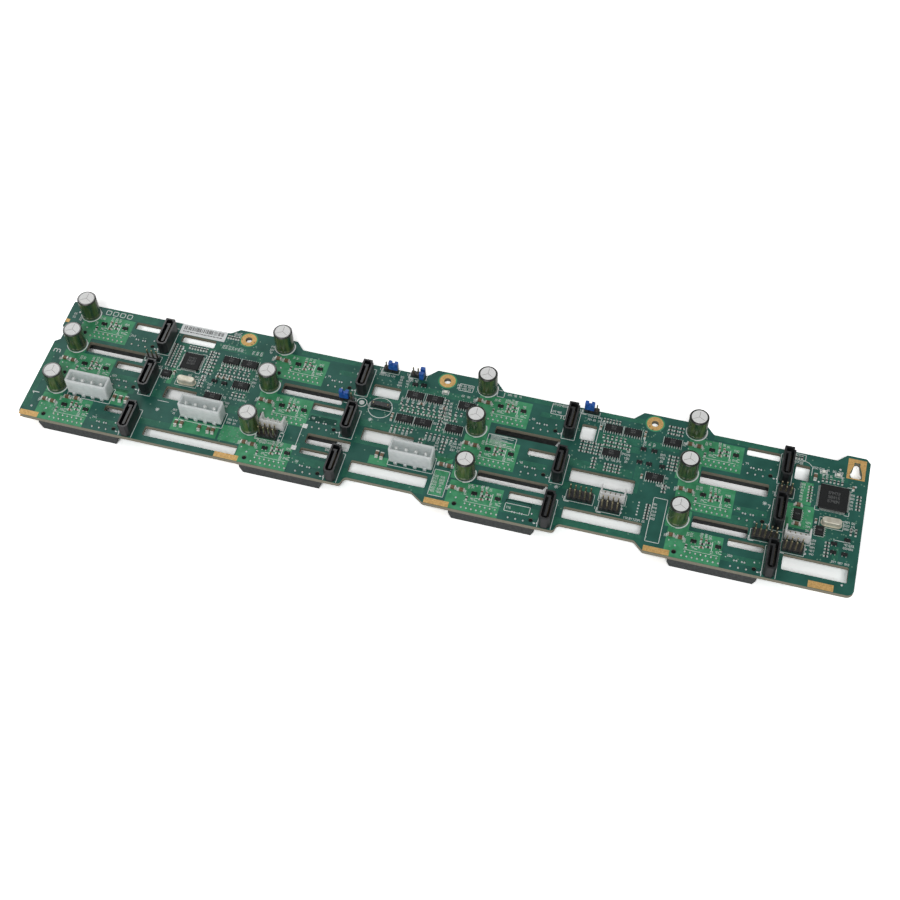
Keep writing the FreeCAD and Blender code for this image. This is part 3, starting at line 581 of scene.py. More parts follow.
def pour(shape, x0, x1, y0, y1, z0, z1, hole=None):
    """A rectangle of copper, in four strips if a peg's hole lies in it."""
    if hole is None:
        shape.box(x0, x1, y0, y1, z0, z1)
        return
    x, y = hole
    shape.box(x0, x - PEG_CLEAR, y0, y1, z0, z1)
    shape.box(x + PEG_CLEAR, x1, y0, y1, z0, z1)
    shape.box(x - PEG_CLEAR, x + PEG_CLEAR, y + PEG_CLEAR, y1, z0, z1)
    if y - PEG_CLEAR > y0 + 0.2:
        shape.box(x - PEG_CLEAR, x + PEG_CLEAR, y0, y - PEG_CLEAR, z0, z1)


def mount_places(start):
    """Where the record's mounts whose names start like this are."""
    return [tuple(local(Vector(m["pos_m"])).xy) for m in frame["record"]["mounts"]
            if m["name"].startswith(start)]


def copper_pours():
    top = Shape()
    for index, (x, y) in enumerate(bays()):
        left, right, front, rear = BAY_POURS[index // COLUMNS]
        pour(top, x + left, x + right, y + front, y + rear, SUNK, POUR_TOP, (x, y))
    for x0, x1, y0, y1 in OTHER_POURS:
        pour(top, x0, x1, y0, y1, SUNK, POUR_TOP - 0.005)
    for x, y in mount_places("mounting_hole"):
        top.ring(x, y, *POUR_RING, SUNK, POUR_TOP - 0.012, sides=48)
    under = Shape()
    for x, y in bays():
        under.box(x - 4.6, x + 41.8, y + 3.4, y + 9.0, UNDER - POUR_TOP, UNDER - SUNK)
    return top, under


piece("copper_pours", copper_pours(), pour_green)


def peg_ends():
    """Black discs of painted shade on the locating pegs' ends in their holes, and the pour's rim round the
    left ones.
    """
    ends, rims = Shape(), Shape()
    for x, y in bays():
        for dx in (0, PEG_SPACING):
            ends.disc(x + dx, y, PEG_SHADE_RADIUS, PEG_SHADE_LOW, PEG_SHADE_HIGH, sides=20)
        rims.ring(x, y, 1.3, PEG_CLEAR * 1.42, SUNK, POUR_TOP - 0.01)
    return ends, rims


ends, rims = peg_ends()
piece("peg_ends", [ends], peg_shade_black)
piece("peg_rims", [rims], pour_green)

# ---- Gold plate ----

EDGE_PADS = [
    (-12.6, -2.5, -3.1, 0.1), (93.6, 106.2, -3.1, 0.1), (203.4, 215.9, -3.1, 0.1), (312.9, 325.6, -3.1, 0.1),
    (392.1, 404.2, -3.1, 0.6), (-13.1, -10.9, 59.1, 61.3),
]


def gold_pads(z0, z1):
    shape = Shape()
    for x0, x1, y0, y1 in EDGE_PADS:
        shape.box(x0, x1, y0, y1, z0, z1)
    for x, y in mount_places("mounting_hole"):
        shape.ring(x, y, *GOLD_RING, z0, z1, sides=48)
    # A plate in strips round the keyhole, and a wedge at each side of its narrow end.
    x, y = mount_places("keyhole")[0]
    for x0, x1, y0, y1 in ((-4.5, -3, -8.6, 3.6), (3, 4.5, -8.6, 3.6), (-3, 3, -8.6, -8), (-3, 3, 1.5, 3.6)):
        shape.box(x + x0, x + x1, y + y0, y + y1, z0, z1)
    for side in (-1, 1):
        corners = [(x + side * dx, y + dy)
                   for dx, dy in ((3, -5), (3, 1.5), (1.5, 1.5), (1.5, -0.3), (2.45, -3.2))]
        shape.prism(corners[::side], z0, z1)
    return shape


piece("gold_pads", [gold_pads(SUNK, PLATE_TOP), gold_pads(UNDER - PLATE_TOP, UNDER - SUNK)], gold)

# ---- Traces ----

# Runs of traces side by side: (count, pitch, x, y, x, y and so on).
RUNS = [
    (7, 0.55, -11, 26, -8, 23, 40, 23), (5, 0.55, 24, 2, 40, 2, 41.5, 4),
    (8, 0.6, 50, 24.4, 100, 24.4, 112, 30, 150, 30), (6, 0.6, 50, 7, 66, 7),
    (6, 0.6, 57, 43.5, 57, 34, 60, 31), (9, 0.5, 70, 47, 76, 47, 84, 52, 98, 52),
    (8, 0.55, 68, 58.4, 74, 62, 98, 62), (5, 0.6, 98, 30, 98, 62), (7, 0.55, 54, 68, 54, 44),
    (8, 0.6, 124, 3, 150, 3), (6, 0.6, 124, 12, 134, 12), (9, 0.6, 160, 1.4, 202, 1.4),
    (8, 0.6, 160, 22.9, 208, 22.9, 212, 26), (8, 0.55, 160, 33.6, 176, 33.6, 186, 38.6, 210, 38.6),
    (7, 0.55, 176, 47, 210, 47), (8, 0.5, 176, 61, 212, 61), (5, 0.6, 147, 51.5, 176, 51.5),
    (6, 0.55, 195, 26, 195, 34), (9, 0.6, 234, 1.5, 260, 1.5), (8, 0.6, 268, 0.4, 311, 0.4),
    (7, 0.6, 268, 22.2, 286, 22.2), (8, 0.55, 268, 36.4, 300, 36.4), (7, 0.55, 279, 51.5, 301, 51.5),
    (8, 0.5, 279, 56, 300, 56), (6, 0.6, 304, 28, 304, 44), (7, 0.55, 302, 57, 320, 57),
    (6, 0.55, 278, 70, 300, 70), (7, 0.6, 342, 1.4, 370, 1.4), (8, 0.6, 333, 23, 362, 23),
    (6, 0.55, 378, 24.8, 378, 33), (8, 0.5, 397, 24, 397, 31, 400, 34), (6, 0.55, 386, 57, 390, 60, 404, 60),
    (6, 0.6, -10, 2, -10, 44), (5, 0.6, 140, 62, 150, 62), (5, 0.6, 248, 62, 260, 62),
    (7, 0.6, 226, 69.5, 258, 69.5), (7, 0.6, 117, 69.5, 150, 69.5), (7, 0.6, 336, 69.5, 368, 69.5),
    (7, 0.6, 8, 69, 36, 69), (6, 0.6, 24, 30, 40, 30), (6, 0.6, 134, 30, 148, 30), (6, 0.6, 243, 30, 258, 30),
    (6, 0.6, 352, 30, 368, 30), (5, 0.6, 404, 14, 404, 22),
]
# Runs on the underside, for each bay and between columns.
UNDER_RUNS = [
    (8, 0.6, 2, 10, 20, 10, 26, 12, 40, 12), (7, 0.6, 52, 6, 60, 14, 96, 14), (6, 0.6, 4, -3.4, 38, -3.4),
]


def traces():
    top, under = Print(TRACE_TOP), Print(TRACE_TOP, below=True)
    for target, runs, starts in ((top, RUNS, [(0, 0)]), (under, UNDER_RUNS, bays())):
        for x, y in starts:
            for count, pitch, *line in runs:
                target.bundle([(x + a, y + b) for a, b in zip(line[::2], line[1::2])], count, pitch)
    return top.shape, under.shape


piece("traces", traces(), trace_green)

# ---- Vias: lidded rings, scattered thickly near the chips ----

# Fields of vias: (left, front, right, rear, places tried).
VIA_FIELDS = [
    (-11, 2, 412, 70, 420), (50, 30, 100, 72, 180), (160, 33, 212, 70, 150), (268, 36, 322, 70, 150),
    (378, 12, 412, 64, 110), (-4, 2, 22, 8, 16), (92, 7, 104, 16, 30), (325, 2, 350, 12, 16),
]


VIA_RADIUS, VIA_HOLE_RADIUS, VIA_REACH, VIA_SPACING = 0.36, 0.17, 0.6, 1.0


def vias():
    rings, centres = ([Print(top, below) for below in (False, True)] for top in (PLATE_TOP, PAD_TOP))
    taken = []
    for x0, y0, x1, y1, count in VIA_FIELDS:
        for _ in range(count):
            x, y = chance.uniform(x0, x1), chance.uniform(y0, y1)
            free = bare(x, y, VIA_REACH, VIA_REACH) and all(abs(x - a) + abs(y - b) > VIA_SPACING
                                                            for a, b in taken)
            if free:
                taken.append((x, y))
            for below, fits in enumerate((free, bare(x, y, VIA_REACH, VIA_REACH, below=True))):
                if fits:
                    rings[below].disc(x, y, VIA_RADIUS, 8)
                    centres[below].disc(x, y, VIA_HOLE_RADIUS, 6)
    return [target.shape for target in rings], [target.shape for target in centres]


via_rings, via_centres = vias()
piece("via_rings", via_rings, via_ring)
piece("via_centres", via_centres, via_dark)

# ---- Chip resistors and small ceramic capacitors ----

RESISTORS = [
    (50.6, 45.4, 0, 1, 0, 10, 1.55), (54, 45, 0, 1, 0, 9, 1.7), (58.4, 59.3, 1, 7, 1.55),
    (71.2, 45.5, 0, 1, 0, 9, 1.7), (74, 45, 0, 1, 0, 7, 2.3), (57.6, 33.2, 1, 7, 2.1), (76, 70.8, 1, 5, 1.4),
    (79.4, 46.4, 0, 6, 3.1), (79, 49.4, 1, 7, 2.6), (79.6, 51.9, 0, 5, 3.3), (90.4, 35.8, 1, 4, 2),
    (72, 36.4, 0, 1, 0, 4, 1.9), (176.6, 52.4, 1, 12, 2.9), (178.4, 47.6, 0, 10, 3.1), (178, 50, 1, 11, 2.8),
    (176, 36.4, 1, 6, 2.1), (194.4, 36.4, 1, 8, 2.2), (199.2, 40.2, 0, 1, 0, 11, 1.9),
    (204.4, 27.6, 0, 1, 0, 4, 2), (192.6, 28.4, 0, 1, 0, 3, 2.1), (280, 67.5, 1, 6, 1.6),
    (272.2, 46, 0, 4, 2.9, 4, 2), (279.8, 37.6, 0, 1, 0, 4, 1.9), (283.4, 52.6, 0, 5, 2.9, 2, 2.2),
    (286.4, 37.6, 0, 3, 3, 3, 1.9), (281.6, 57.6, 1, 6, 2.2), (313.6, 67.4, 0, 3, 2.8, 3, 2.2),
    (316.8, 45.8, 0, 2, 2.7, 5, 2), (311, 14.8, 0, 1, 0, 6, 1.6), (316.6, 32, 0, 1, 0, 3, 1.9),
    (377.4, 69.2, 1, 3, 1.4), (391.8, 58.9, 1, 6, 1.9), (386.6, 44.6, 0, 1, 0, 6, 1.7),
    (410.3, 45.4, 0, 1, 0, 5, 1.9), (398.4, 15.6, 0, 1, 0, 5, 1.9), (408.6, 31, 1, 2, 2.4, 2, 2),
]
BAY_RESISTORS = [(12.6, 7.4), (15.6, 6.4, 0, 1, 0, 2, 2.2), (5.2, 4.4, 1)]
BAY_CERAMICS = [(11.8, 9.6, 1), (14.2, 9.4, 1), (12.4, 5.4)]
CERAMICS = [
    (79.4, 44.4, 0, 3, 3.2), (56.2, 41.4, 1), (174.4, 41.2, 1, 1, 0, 2, 2.6), (187, 53.9, 0, 2, 12),
    (279.2, 62.4, 1), (301.8, 62.2, 1, 1, 0, 2, 2.4), (304.6, 38.6, 1), (388.6, 57.4, 1), (407, 57.2, 1),
    (382.2, 41), (382.4, 29.8), (391.4, 34.2, 1),
]
# The size of a small chip and of each of its ends, in millimetres, and how much taller ceramic ones are.
CHIP_LENGTH, CHIP_WIDTH, CHIP_HEIGHT, CHIP_END = 1.6, 0.85, 0.45, 0.34
CERAMIC_RISE = 1.6
chip_bodies, ceramic_bodies, chip_ends, solder_pads = Shape(), Shape(), Shape(), Print(PAD_TOP)


def small_chip(x, y, upright, bodies, size=1.0):
    """A body between two soldered ends, on two pads. Nothing is placed where it would not fit."""
    length, width = CHIP_LENGTH * size, CHIP_WIDTH * size
    reach = (width / 2 + 0.15, length / 2 + 0.45) if upright else (length / 2 + 0.45, width / 2 + 0.15)
    if not bare(x, y, *reach):
        return
    height = CHIP_HEIGHT * size * (CERAMIC_RISE if bodies is ceramic_bodies else 1.0)
    end, lift = CHIP_END * size, PAD_TOP - 0.01

    def block(shape, a0, a1, half, z1):
        if upright:
            shape.box(x - half, x + half, y + a0, y + a1, lift, z1)
        else:
            shape.box(x + a0, x + a1, y - half, y + half, lift, z1)

    block(bodies, -length / 2 + end, length / 2 - end, width / 2 - 0.02, height)
    for side in (-1, 1):
        a0, a1 = sorted((side * length / 2, side * (length / 2 - end - 0.01)))
        block(chip_ends, a0, a1, width / 2, height + 0.02)
        px, py = (0, side * length / 2) if upright else (side * length / 2, 0)
        pad = (width + 0.15, 0.8 * size) if upright else (0.8 * size, width + 0.15)
        solder_pads.pad(x + px, y + py, *pad, margin=0.2)


for x, y, upright in laid_out(RESISTORS):
    small_chip(x, y, upright, chip_bodies)
for x, y, upright in laid_out(CERAMICS):
    small_chip(x, y, upright, ceramic_bodies, 1.2)
for bay in bays():
    for groups, bodies in ((BAY_RESISTORS, chip_bodies), (BAY_CERAMICS, ceramic_bodies)):
        for x, y, upright in laid_out(groups, *bay):
            small_chip(x, y, upright, bodies, 1.1)

# ---- Leads and ends of the CAD's chips, transistors and ceramic capacitors ----

chip_leads = Shape()


def gull_wings(body_low, body_high, axis, count, pitch, width, reach):
    """Bent leads down both sides of a chip, set along X or along Y."""
    middle = (body_low + body_high) / 2
    level = body_high.z * 0.5
    knee, foot = reach * 0.35, reach * 0.62
    profile = [(-0.1, level), (knee, level), (foot, 0.12), (reach, 0.12), (reach, SUNK), (foot - 0.12, SUNK),
               (knee - 0.1, level - 0.14), (-0.1, level - 0.14)]
    for edge, side in ((body_low, -1), (body_high, 1)):
        for index in range(count):
            along = (index - (count - 1) / 2) * pitch

            def place(r, s):
                if axis == "X":
                    return middle.x + along - side * s, edge.y + side * r
                return edge.x + side * r, middle.y + along + side * s

            chip_leads.extruded(profile, place, width)


# The pitch, width and reach of the leads of small chips, and of chips with leads on all four sides.
WIDE_LEADS, FINE_LEADS = (1.27, 0.42, 1.05), (0.5, 0.24, 1.0)
for low, high in islands("logic_chips"):
    gull_wings(low, high, "X", 7, *WIDE_LEADS)
for low, high in islands("memory_chips"):
    gull_wings(low, high, "X" if high.x - low.x > high.y - low.y else "Y", 4, *WIDE_LEADS)
for chip in ("controller_chip", "interface_chip"):
    low, high = islands(chip)[0]
    leads = round((high.x - low.x - 2.0) / FINE_LEADS[0]) + 1
    for axis in ("X", "Y"):
        gull_wings(low, high, axis, leads, *FINE_LEADS)
for low, high in islands("transistors"):
    middle = (low + high) / 2
    for x, side in ((middle.x, 1), (middle.x - 0.95, -1), (middle.x + 0.95, -1)):
        edge = high.y if side > 0 else low.y
        y0, y1 = sorted((edge - side * 0.05, edge + side * 0.6))
        chip_leads.box(x - 0.22, x + 0.22, y0, y1, SUNK, 0.3)
for low, high in islands("ceramic_capacitors") + islands("status_leds"):
    # Each end wraps this far round the body, and its pad stands out by the reach.
    end, rise, pad_reach, pad_width = 0.18 * max(high.x - low.x, high.y - low.y), 0.03, 0.35, 0.6
    for edge, side in ((low, -1), (high, 1)):
        x0, x1, y0, y1 = low.x - rise, high.x + rise, low.y - rise, high.y + rise
        x, y, width, depth = (low.x + high.x) / 2, (low.y + high.y) / 2, high.x - low.x, high.y - low.y
        if width > depth:
            x0, x1 = sorted((edge.x + side * rise, edge.x - side * end))
            x, width = edge.x + side * pad_reach, pad_width
        else:
            y0, y1 = sorted((edge.y + side * rise, edge.y - side * end))
            y, depth = edge.y + side * pad_reach, pad_width
        chip_ends.box(x0, x1, y0, y1, SUNK, high.z + rise)
        solder_pads.pad(x, y, width, depth, 0.28)
piece("chip_leads", [chip_leads], tin)
piece("resistor_bodies", [chip_bodies], resistor_black)
piece("small_ceramic_bodies", [ceramic_bodies], ceramic_tan)
piece("soldered_ends", [chip_ends], end_silver)

# ---- Solder ----

joints = Shape()


def points_of(node):
    return [local(vertex.co) for vertex in nodes[node].data.vertices]


def middle_of(points):
    return sum(p.x for p in points) / len(points), sum(p.y for p in points) / len(points)


def tips(node, above):
    """Where each solid of a CAD node comes through the board: the middle of its points past one face."""
    points = points_of(node)
    for low, high in islands(node):
        end = high.z if above else low.z
        yield middle_of([p for p in points if abs(p.z - end) < 0.05 and low.x - 0.01 <= p.x <= high.x + 0.01
                         and low.y - 0.01 <= p.y <= high.y + 0.01])


# The radius of the joint round each pin on the underside, in millimetres.
JOINT_RADII = {"power_pins": 1.7, "header_pins": 0.85, "data_contacts": 0.6}
# Joints on the top face, in every bay as (x, y, radius along X, radius along Y), and one by one as (x, y).
BAY_JOINTS = [(0.0, 3.6, 0.55, 0.55), (38.4, 3.7, 0.5, 0.5), (40.6, -1.2, 0.75, 0.45),
              (42.0, -0.9, 0.45, 0.75), (24.6, 3.4, 0.35, 0.35), (-3.4, 5.9, 0.4, 0.4)]
OTHER_JOINTS = [(-8, 3.2), (-7.7, 67), (55, 57.6), (71.2, 43), (387.7, 38.9), (399.5, 67), (407.8, 1.7),
                (408, 58.5), (122.8, 16.8), (122.8, 14.2), (298.7, 17.5), (298.7, 15.2), (388.7, 17),
                (388.7, 14.5)]
for x, y in tips("drive_contacts", above=True):
    joints.dome(x, y, 0.56, 0.56, SUNK, 0.72, sides=8)
for name, radius in JOINT_RADII.items():
    for x, y in tips(name, above=False):
        joints.dome(x, y, radius, radius, UNDER - SUNK, -radius * 0.75)
for name in [n for n in nodes if n.startswith("capacitor_")]:
    low, high = local_box(name)
    ends = [p for p in points_of(name) if p.z < low.z + 0.05]
    for side in (-1, 1):
        x, y = middle_of([p for p in ends if (p.x - (low.x + high.x) / 2) * side > 0])
        joints.dome(x, y, 1.1, 1.1, UNDER - SUNK, -0.8)
for x, y in bays():
    for dx, dy, rx, ry in BAY_JOINTS:
        if bare(x + dx, y + dy, rx * 0.7, ry * 0.7):
            joints.dome(x + dx, y + dy, rx, ry, SUNK, 0.3)
for x, y in OTHER_JOINTS:
    if bare(x, y, 0.5, 0.5):
        joints.dome(x, y, 0.65, 0.65, SUNK, 0.25)
piece("solder_joints", [joints], solder, smooth=True)
for x, y in ((133.0, 26.0), (131.5, 12.0)):
    solder_pads.pad(x, y, 2.6, 2.6)
for x, y, _ in laid_out([(306.4, 16, 0, 1, 0, 5, 1.8), (224.6, 12.6, 0, 4, 2.4)]):
    solder_pads.pad(x, y, 0.8, 0.8)
piece("solder_pads", [solder_pads.shape], pad_tin)

# ---- Screen print ----

ink_top, ink_under = Print(INK_TOP), Print(INK_TOP, below=True)

# Groups of plain numbers.
NUMBERS = [
    (75.5, 64, 1, 7, 1.7), (92.2, 64, 1, 3, 2.2), (90, 33, 0, 4, 2.6), (86.4, 27.6, 0, 2, 3.2, 2, 2),
    (98.6, 45.4, 0, 1, 0, 4, 2.2), (76.8, 34.4, 0, 1, 0, 3, 2.2), (72.6, 40.8, 0, 1, 0, 2, 2.4),
    (47.6, 43.2, 0, 2, 3.4), (76, 73.6, 1, 5, 1.4), (64.6, 41.6, 0, 2, 4), (59.4, 61.8, 1, 5, 2.6),
    (113.2, 11.4, 0, 4, 2.9), (172.6, 62.6, 0, 1, 0, 4, 1.8), (176.4, 62.6, 0, 1, 0, 3, 1.8),
    (161.8, 67.4, 0, 3, 3), (177.4, 67.4, 0, 2, 3), (176.6, 54.8, 1, 9, 2.9), (176, 33.9, 1, 5, 2.1),
    (194.4, 33.9, 1, 7, 2.2), (201.8, 41.2, 0, 1, 0, 9, 2.1), (201, 28.6, 0, 1, 0, 3, 2),
    (203, 68.6, 0, 3, 2.8, 2, 1.8), (229, 66.4, 1, 3, 2.4), (229.6, 70.8, 0, 3, 2.8),
    (209.6, 30.4, 0, 2, 3, 3, 1.9), (253.6, 70.8, 0, 3, 2.6), (253.6, 66.4, 0, 2, 3),
    (272.4, 66, 0, 3, 2.6, 2, 2), (301.6, 12.9, 0, 4, 2.9), (283, 44.3, 0, 4, 3),
    (295.4, 45, 0, 1, 0, 4, 2.1), (279.8, 65.2, 1, 6, 1.6), (302.6, 58.4, 1, 3, 2.4),
    (313.4, 35.2, 0, 3, 2.6), (312.6, 49.6, 0, 1, 0, 3, 2), (314.2, 15.6, 0, 1, 0, 5, 2.1),
    (377.4, 66.4, 1, 3, 1.5), (387.4, 65, 0, 5, 3.1), (391.8, 61.6, 1, 6, 1.9),
    (382.6, 44.8, 0, 1, 0, 6, 1.8), (406.2, 33, 0, 2, 3, 3, 2), (407, 45.2, 0, 1, 0, 5, 2),
    (391.6, 14.8, 0, 1, 0, 5, 2), (391.6, 12.4, 0, 4, 2.7), (402.4, 13.4, 0, 3, 3.2),
    (407, 22.2, 0, 2, 2.6, 2, 2), (388, 27.6, 0, 1, 0, 3, 2.2), (-9.6, 63.4, 0, 1, 0, 2, 2.2),
    (101, 66.4, 0, 1, 0, 3, 2), (206.4, 64.2, 0, 2, 3), (65, 16.8, 0, 1, 0, 2, 2.2),
    (94.4, 18.2, 0, 2, 3, 2, 2), (32.2, 12.6, 1, 2, 2.8), (176.6, 17.4, 0, 1, 0, 2, 2.2),
    (205.6, 19.2, 0, 2, 3), (148.6, 12.6, 0, 1, 0, 2, 2.2), (205.8, 4.6, 0, 2, 3.4, 6, 1.75),
]
BAY_NUMBERS = [
    (5, 11.4, 1), (6.8, 11.4, 1), (11.6, 12.4, 1), (13.8, 12.4, 1), (15.8, 12, 1), (17.6, 3.9, 1), (8.3, 4.7),
    (20.3, 10.4), (20.3, 4.5), (-5.6, 8.2, 1), (3.9, 7.4, 1), (26.4, 4.4),
]


def print_numbers():
    """Designators, each bay's number on both faces, and numbers along the left edge."""
    for x, y, upright in laid_out(NUMBERS):
        number(ink_top, digits(), x, y, chance.choice((1.0, 1.15)), upright)
    for bay in bays():
        for x, y, upright in laid_out(BAY_NUMBERS, *bay):
            number(ink_top, digits(), x, y, 1.1, upright)
    for index, (x, y) in enumerate(bays()):
        number(ink_top, str(index), x + 40.6, y + 9.2, 2.2, width=0.3)
        number(ink_under, str(index), x + 22, y + 13.2, 3.0, width=0.4)
    for mark in range(3):
        number(ink_top, str(mark + 1), -9.4, 12 + 14 * mark, 3.4, True, width=0.45)
        number(ink_under, digits(3), 60 + 109 * mark, 40, 2.4, width=0.32)


def outline(low, high, width, side, front, rear):
    """A printed frame round a component, this far from its sides, its front and its rear."""
    ink_top.frame(low.x - side, high.x + side, low.y - front, high.y + rear, width)


# Lines printed in every bay: (x, y, x, y, width).
BAY_LINES = [(17.4, 5, 17.4, 9.8, 0.3), (9.4, 4, 10.6, 4, 0.25), (21.4, 4, 22.4, 4, 0.25),
             (9.4, 5.5, 10.6, 5.5, 0.25), (21.4, 5.5, 22.4, 5.5, 0.25), (4.2, 2.6, 21, 2.6, 0.16)]


def print_bays():
    for index, (x, y) in enumerate(bays(), 1):
        outline(*local_box(f"data_header_{index}"), 0.28, 0.6, 0.6, 0.6)
        low, high = local_box(f"capacitor_{index}")
        cx, cy, radius = (low.x + high.x) / 2, (low.y + high.y) / 2, (high.x - low.x) / 2
        for start in range(-150, 210, 15):
            a = math.radians(start + 7.5)
            if bare(cx + (radius + 0.45) * math.cos(a), cy + (radius + 0.45) * math.sin(a), 0.2, 0.2):
                wide = 0.75 if -90 <= start < 30 else 0.4
                ink_top.ring(cx, cy, radius + 0.1, radius + wide, start, start + 15)
        for x0, y0, x1, y1, width in BAY_LINES:
            ink_top.path([(x + x0, y + y0), (x + x1, y + y1)], width)


def print_outlines():
    for name in nodes:
        if name.startswith(("power_connector_", "fan_header_")) and name != "fan_header_pins":
            outline(*local_box(name), 0.25, 0.5, 0.7, 0.5)
    for low, high in islands("pin_header_bases"):
        outline(low, high, 0.22, 0.6, 0.6, 0.6)
        left, front = low.x - 1.1, low.y - 1.1
        ink_top.path([(left, low.y + 1.4), (left, front), (low.x + 1.4, front)], 0.3)
        number(ink_top, "1", low.x - 1.9, low.y + 1.0, 1.2)
    for low, high in islands("logic_chips"):
        ink_top.path([(low.x - 0.4, low.y - 1.1), (low.x - 0.4, high.y + 1.1)], 0.2)
        ink_top.path([(high.x + 0.4, low.y - 1.1), (high.x + 0.4, high.y + 1.1)], 0.2)
        number(ink_top, digits(2), high.x + 1.7, high.y - 0.6, 1.1)
    for chip in ("controller_chip", "interface_chip"):
        low, high = islands(chip)[0]
        for x, y, sx, sy in ((low.x, low.y, 1, 1), (high.x, low.y, -1, 1), (high.x, high.y, -1, -1)):
            left, front = x - sx * 1.3, y - sy * 1.3
            ink_top.path([(left, y + sy * 0.9), (left, front), (x + sx * 0.9, front)], 0.25)
        ink_top.disc(low.x - 1.3, high.y + 1.3, 0.45)
    for node, width, side, ends in (("crystals", 0.2, 0.6, 0.6), ("status_leds", 0.22, 0.7, 0.6),
                                    ("memory_chips", 0.18, 0.4, 0.4)):
        for low, high in islands(node):
            outline(low, high, width, side, ends, ends)


# A ring of short arcs and a ring with a dot, each by its centre.
BROKEN_RING, DOTTED_RING = (167.0, 46.4), (156.8, 47.4)


def print_marks():
    for x0, x1, y0, y1 in ((204.3, 212.0, 2.0, 17.2), (225.0, 239.5, 38.4, 44.8), (243.0, 255.5, 2.3, 8.7),
                           (252.4, 260.2, 64.8, 72.2), (203.0, 210.4, 67.4, 71.6), (223.2, 226.8, 68.4, 72.4),
                           (313.0, 319.8, 2.5, 28.0), (121.4, 124.2, 12.8, 18.6), (243.0, 255.5, 6.8, 8.7),
                           (377.0, 382.0, 67.6, 71.2)):
        ink_top.frame(x0, x1, y0, y1, 0.26)
    for run in ([(381, 68), (384, 67), (386, 65), (386, 60)], [(278.5, 53), (278.5, 68)],
                [(132, 13.6), (132, 24.4)], [(302, 55), (302, 66)], [(54.2, 22.6), (60, 22.6)],
                [(401, 25.6), (409, 25.6)]):
        ink_top.path(run, 0.25)
    for step in range(8):
        ink_top.path([(226.5, 39.4 + step * 0.7), (238.0 - 3 * (step % 3), 39.4 + step * 0.7)], 0.2)
    x, y = BROKEN_RING
    for start in range(0, 360, 10):
        a = math.radians(start + 5)
        if bare(x + 6.3 * math.cos(a), y + 6.3 * math.sin(a), 0.15, 0.15):
            ink_top.ring(x, y, 6.1, 6.4, start, start + 10)
    ink_top.ring(*DOTTED_RING, 2.4, 2.8)
    ink_top.disc(*DOTTED_RING, 1.4)
    for x, y in ((164, 38.2), (56, 17), (265, 22), (366, 38), (-9.2, 71.5)):
        for a in (0, 45, 90, 135):
            dx, dy = math.cos(math.radians(a)), math.sin(math.radians(a))
            ink_top.path([(x - dx, y - dy), (x, y), (x + dx, y + dy)], 0.22)


print_numbers()
print_bays()
print_outlines()
print_marks()
for left in (6.4, 10.4, 14.4, 18.4):
    ink_top.frame(left, left + 2.6, 69.2, 71.8, 0.34)
piece("screen_print", [ink_top.shape, ink_under.shape], ink)

# ---- Marks on the chips and on the label ----

marks, label_marks = Shape(), Shape()


def marked(low, high, rows, height):
    """Rows of plain numbers on a chip's top."""
    x = (low.x + high.x) / 2
    for row in range(rows):
        y = (low.y + high.y) / 2 + ((rows - 1) / 2 - row) * height * 1.6
        for a0, b0, a1, b1 in strokes(digits(5 if height > 1 else 4), height)[1]:
            marks.line(x + a0, y + b0, x + a1, y + b1, 0.12 * height + 0.03, high.z - 0.02, high.z + 0.02)


for node, rows, height in (("controller_chip", 3, 1.5), ("interface_chip", 3, 1.1), ("logic_chips", 2, 0.8),
                           ("memory_chips", 1, 0.7)):
    for low, high in islands(node):
        marked(low, high, rows, height)
piece("chip_marks", [marks], etched)

# Bars and a line of dashes on the label.
low, high = islands("blank_label")[0]
x, top = low.x + 1.6, high.z
while x < high.x - 1.6:
    bar = chance.choice((0.16, 0.16, 0.3, 0.45))
    label_marks.box(x, x + bar, low.y + 3.0, high.y - 0.9, top - 0.02, top + 0.02)
    x += bar + chance.choice((0.2, 0.2, 0.35, 0.6))
x = low.x + 1.6
while x < high.x - 2.6:
    dash = chance.choice((0.5, 0.9, 1.4))
    label_marks.box(x, x + dash, low.y + 1.6, low.y + 2.1, top - 0.02, top + 0.02)
    x += dash + 0.35
piece("label_print", [label_marks], label_ink)

# ---- Camera, floor and light ----

# The floor's half side in metres, its grey for light and its gain for the camera, and the strength of the
# white surroundings for everything but the camera.
FLOOR_HALF, FLOOR_GREY, FLOOR_GAIN = 3.0, 0.8, 2.2
SURROUNDINGS = 0.31

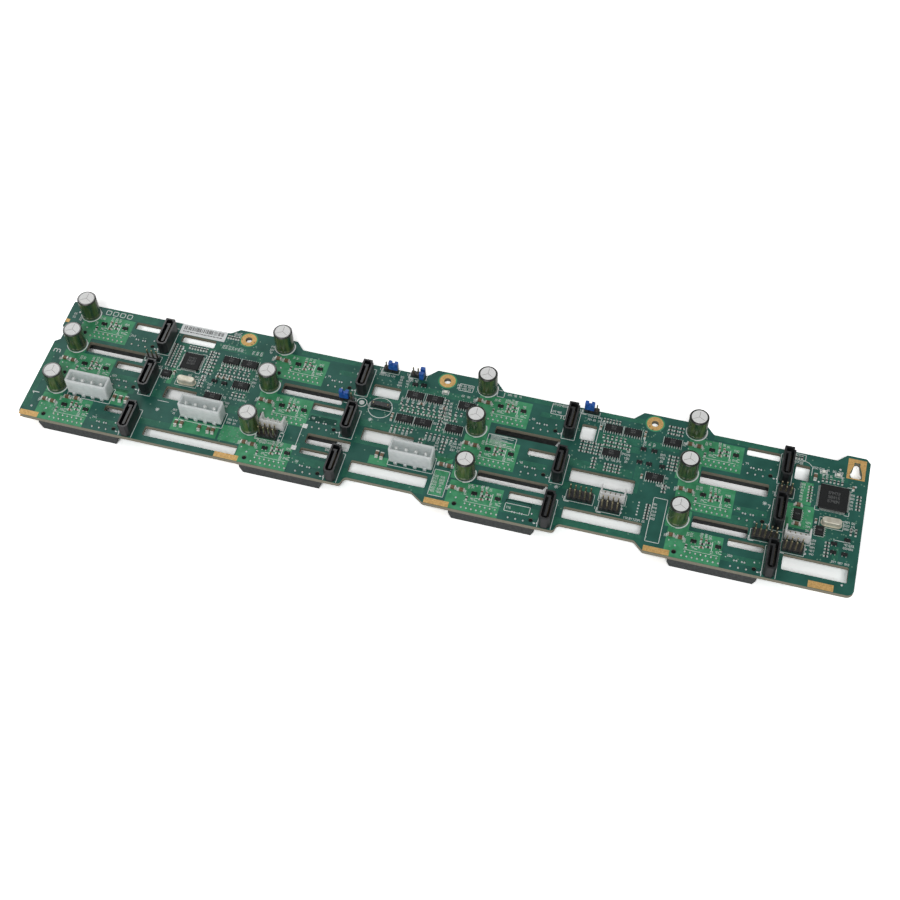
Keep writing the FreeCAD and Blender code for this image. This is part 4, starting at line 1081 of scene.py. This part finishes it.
camera_data = bpy.data.cameras.new("camera")
camera_data.sensor_width = 36.0
camera_data.lens = 60.404
camera_data.shift_x, camera_data.shift_y = -0.0004, 0.0009
camera = bpy.data.objects.new("camera", camera_data)
right_way = Vector((0.96610622, 0.2577784, -0.01375015))
up_way = Vector((-0.20640887, 0.8033764, 0.55855326))
turn = Matrix((right_way, up_way, right_way.cross(up_way))).transposed()
camera.location = (0.12632, -0.41517, 0.63978)
camera.rotation_euler = turn.to_euler()
scene.collection.objects.link(camera)
scene.camera = camera

floor_mesh = bpy.data.meshes.new("floor")
floor_mesh.from_pydata([(x * FLOOR_HALF, y * FLOOR_HALF, 0) for x, y in ((-1, -1), (1, -1), (1, 1), (-1, 1))],
                       [], [(0, 1, 2, 3)])
floor = bpy.data.objects.new("floor", floor_mesh)
scene.collection.objects.link(floor)
floor_look = Look("floor", 0.9, specular=0.0)
rays = floor_look.node("ShaderNodeLightPath")
tint = floor_look.mix(rays.outputs["Is Camera Ray"], (FLOOR_GREY, FLOOR_GREY, FLOOR_GREY, 1.0),
                      (FLOOR_GAIN, FLOOR_GAIN, FLOOR_GAIN, 1.0))
matt = floor_look.node("ShaderNodeBsdfDiffuse")
floor_look.link(tint, matt.inputs["Color"])
floor_look.link(matt.outputs[0], floor_look.tree.nodes["Material Output"].inputs["Surface"])
floor_mesh.materials.append(floor_look.material)

world = bpy.data.worlds.new("studio")
world.use_nodes = True
scene.world = world
background = world.node_tree.nodes["Background"]
background.inputs["Color"].default_value = (1.0, 1.0, 1.0, 1.0)
path = world.node_tree.nodes.new("ShaderNodeLightPath")
level = world.node_tree.nodes.new("ShaderNodeMapRange")
level.inputs["To Min"].default_value, level.inputs["To Max"].default_value = SURROUNDINGS, 1.0
world.node_tree.links.new(path.outputs["Is Camera Ray"], level.inputs["Value"])
world.node_tree.links.new(level.outputs["Result"], background.inputs["Strength"])


def sun(name, travel, strength, spread_angle):
    """A far light that shines along this direction."""
    data = bpy.data.lights.new(name, "SUN")
    data.energy, data.angle = strength, math.radians(spread_angle)
    made = bpy.data.objects.new(name, data)
    made.rotation_euler = Vector(travel).to_track_quat("-Z", "Y").to_euler()
    scene.collection.objects.link(made)


sun("key", (0.45, -0.55, -0.70), 0.5, 25)
sun("fill", (-0.10, 0.56, -0.82), 0.85, 18)
sun("low_fill", (0.1, 0.95, -0.3), 0.76, 50)
scene.view_settings.view_transform = "Standard"
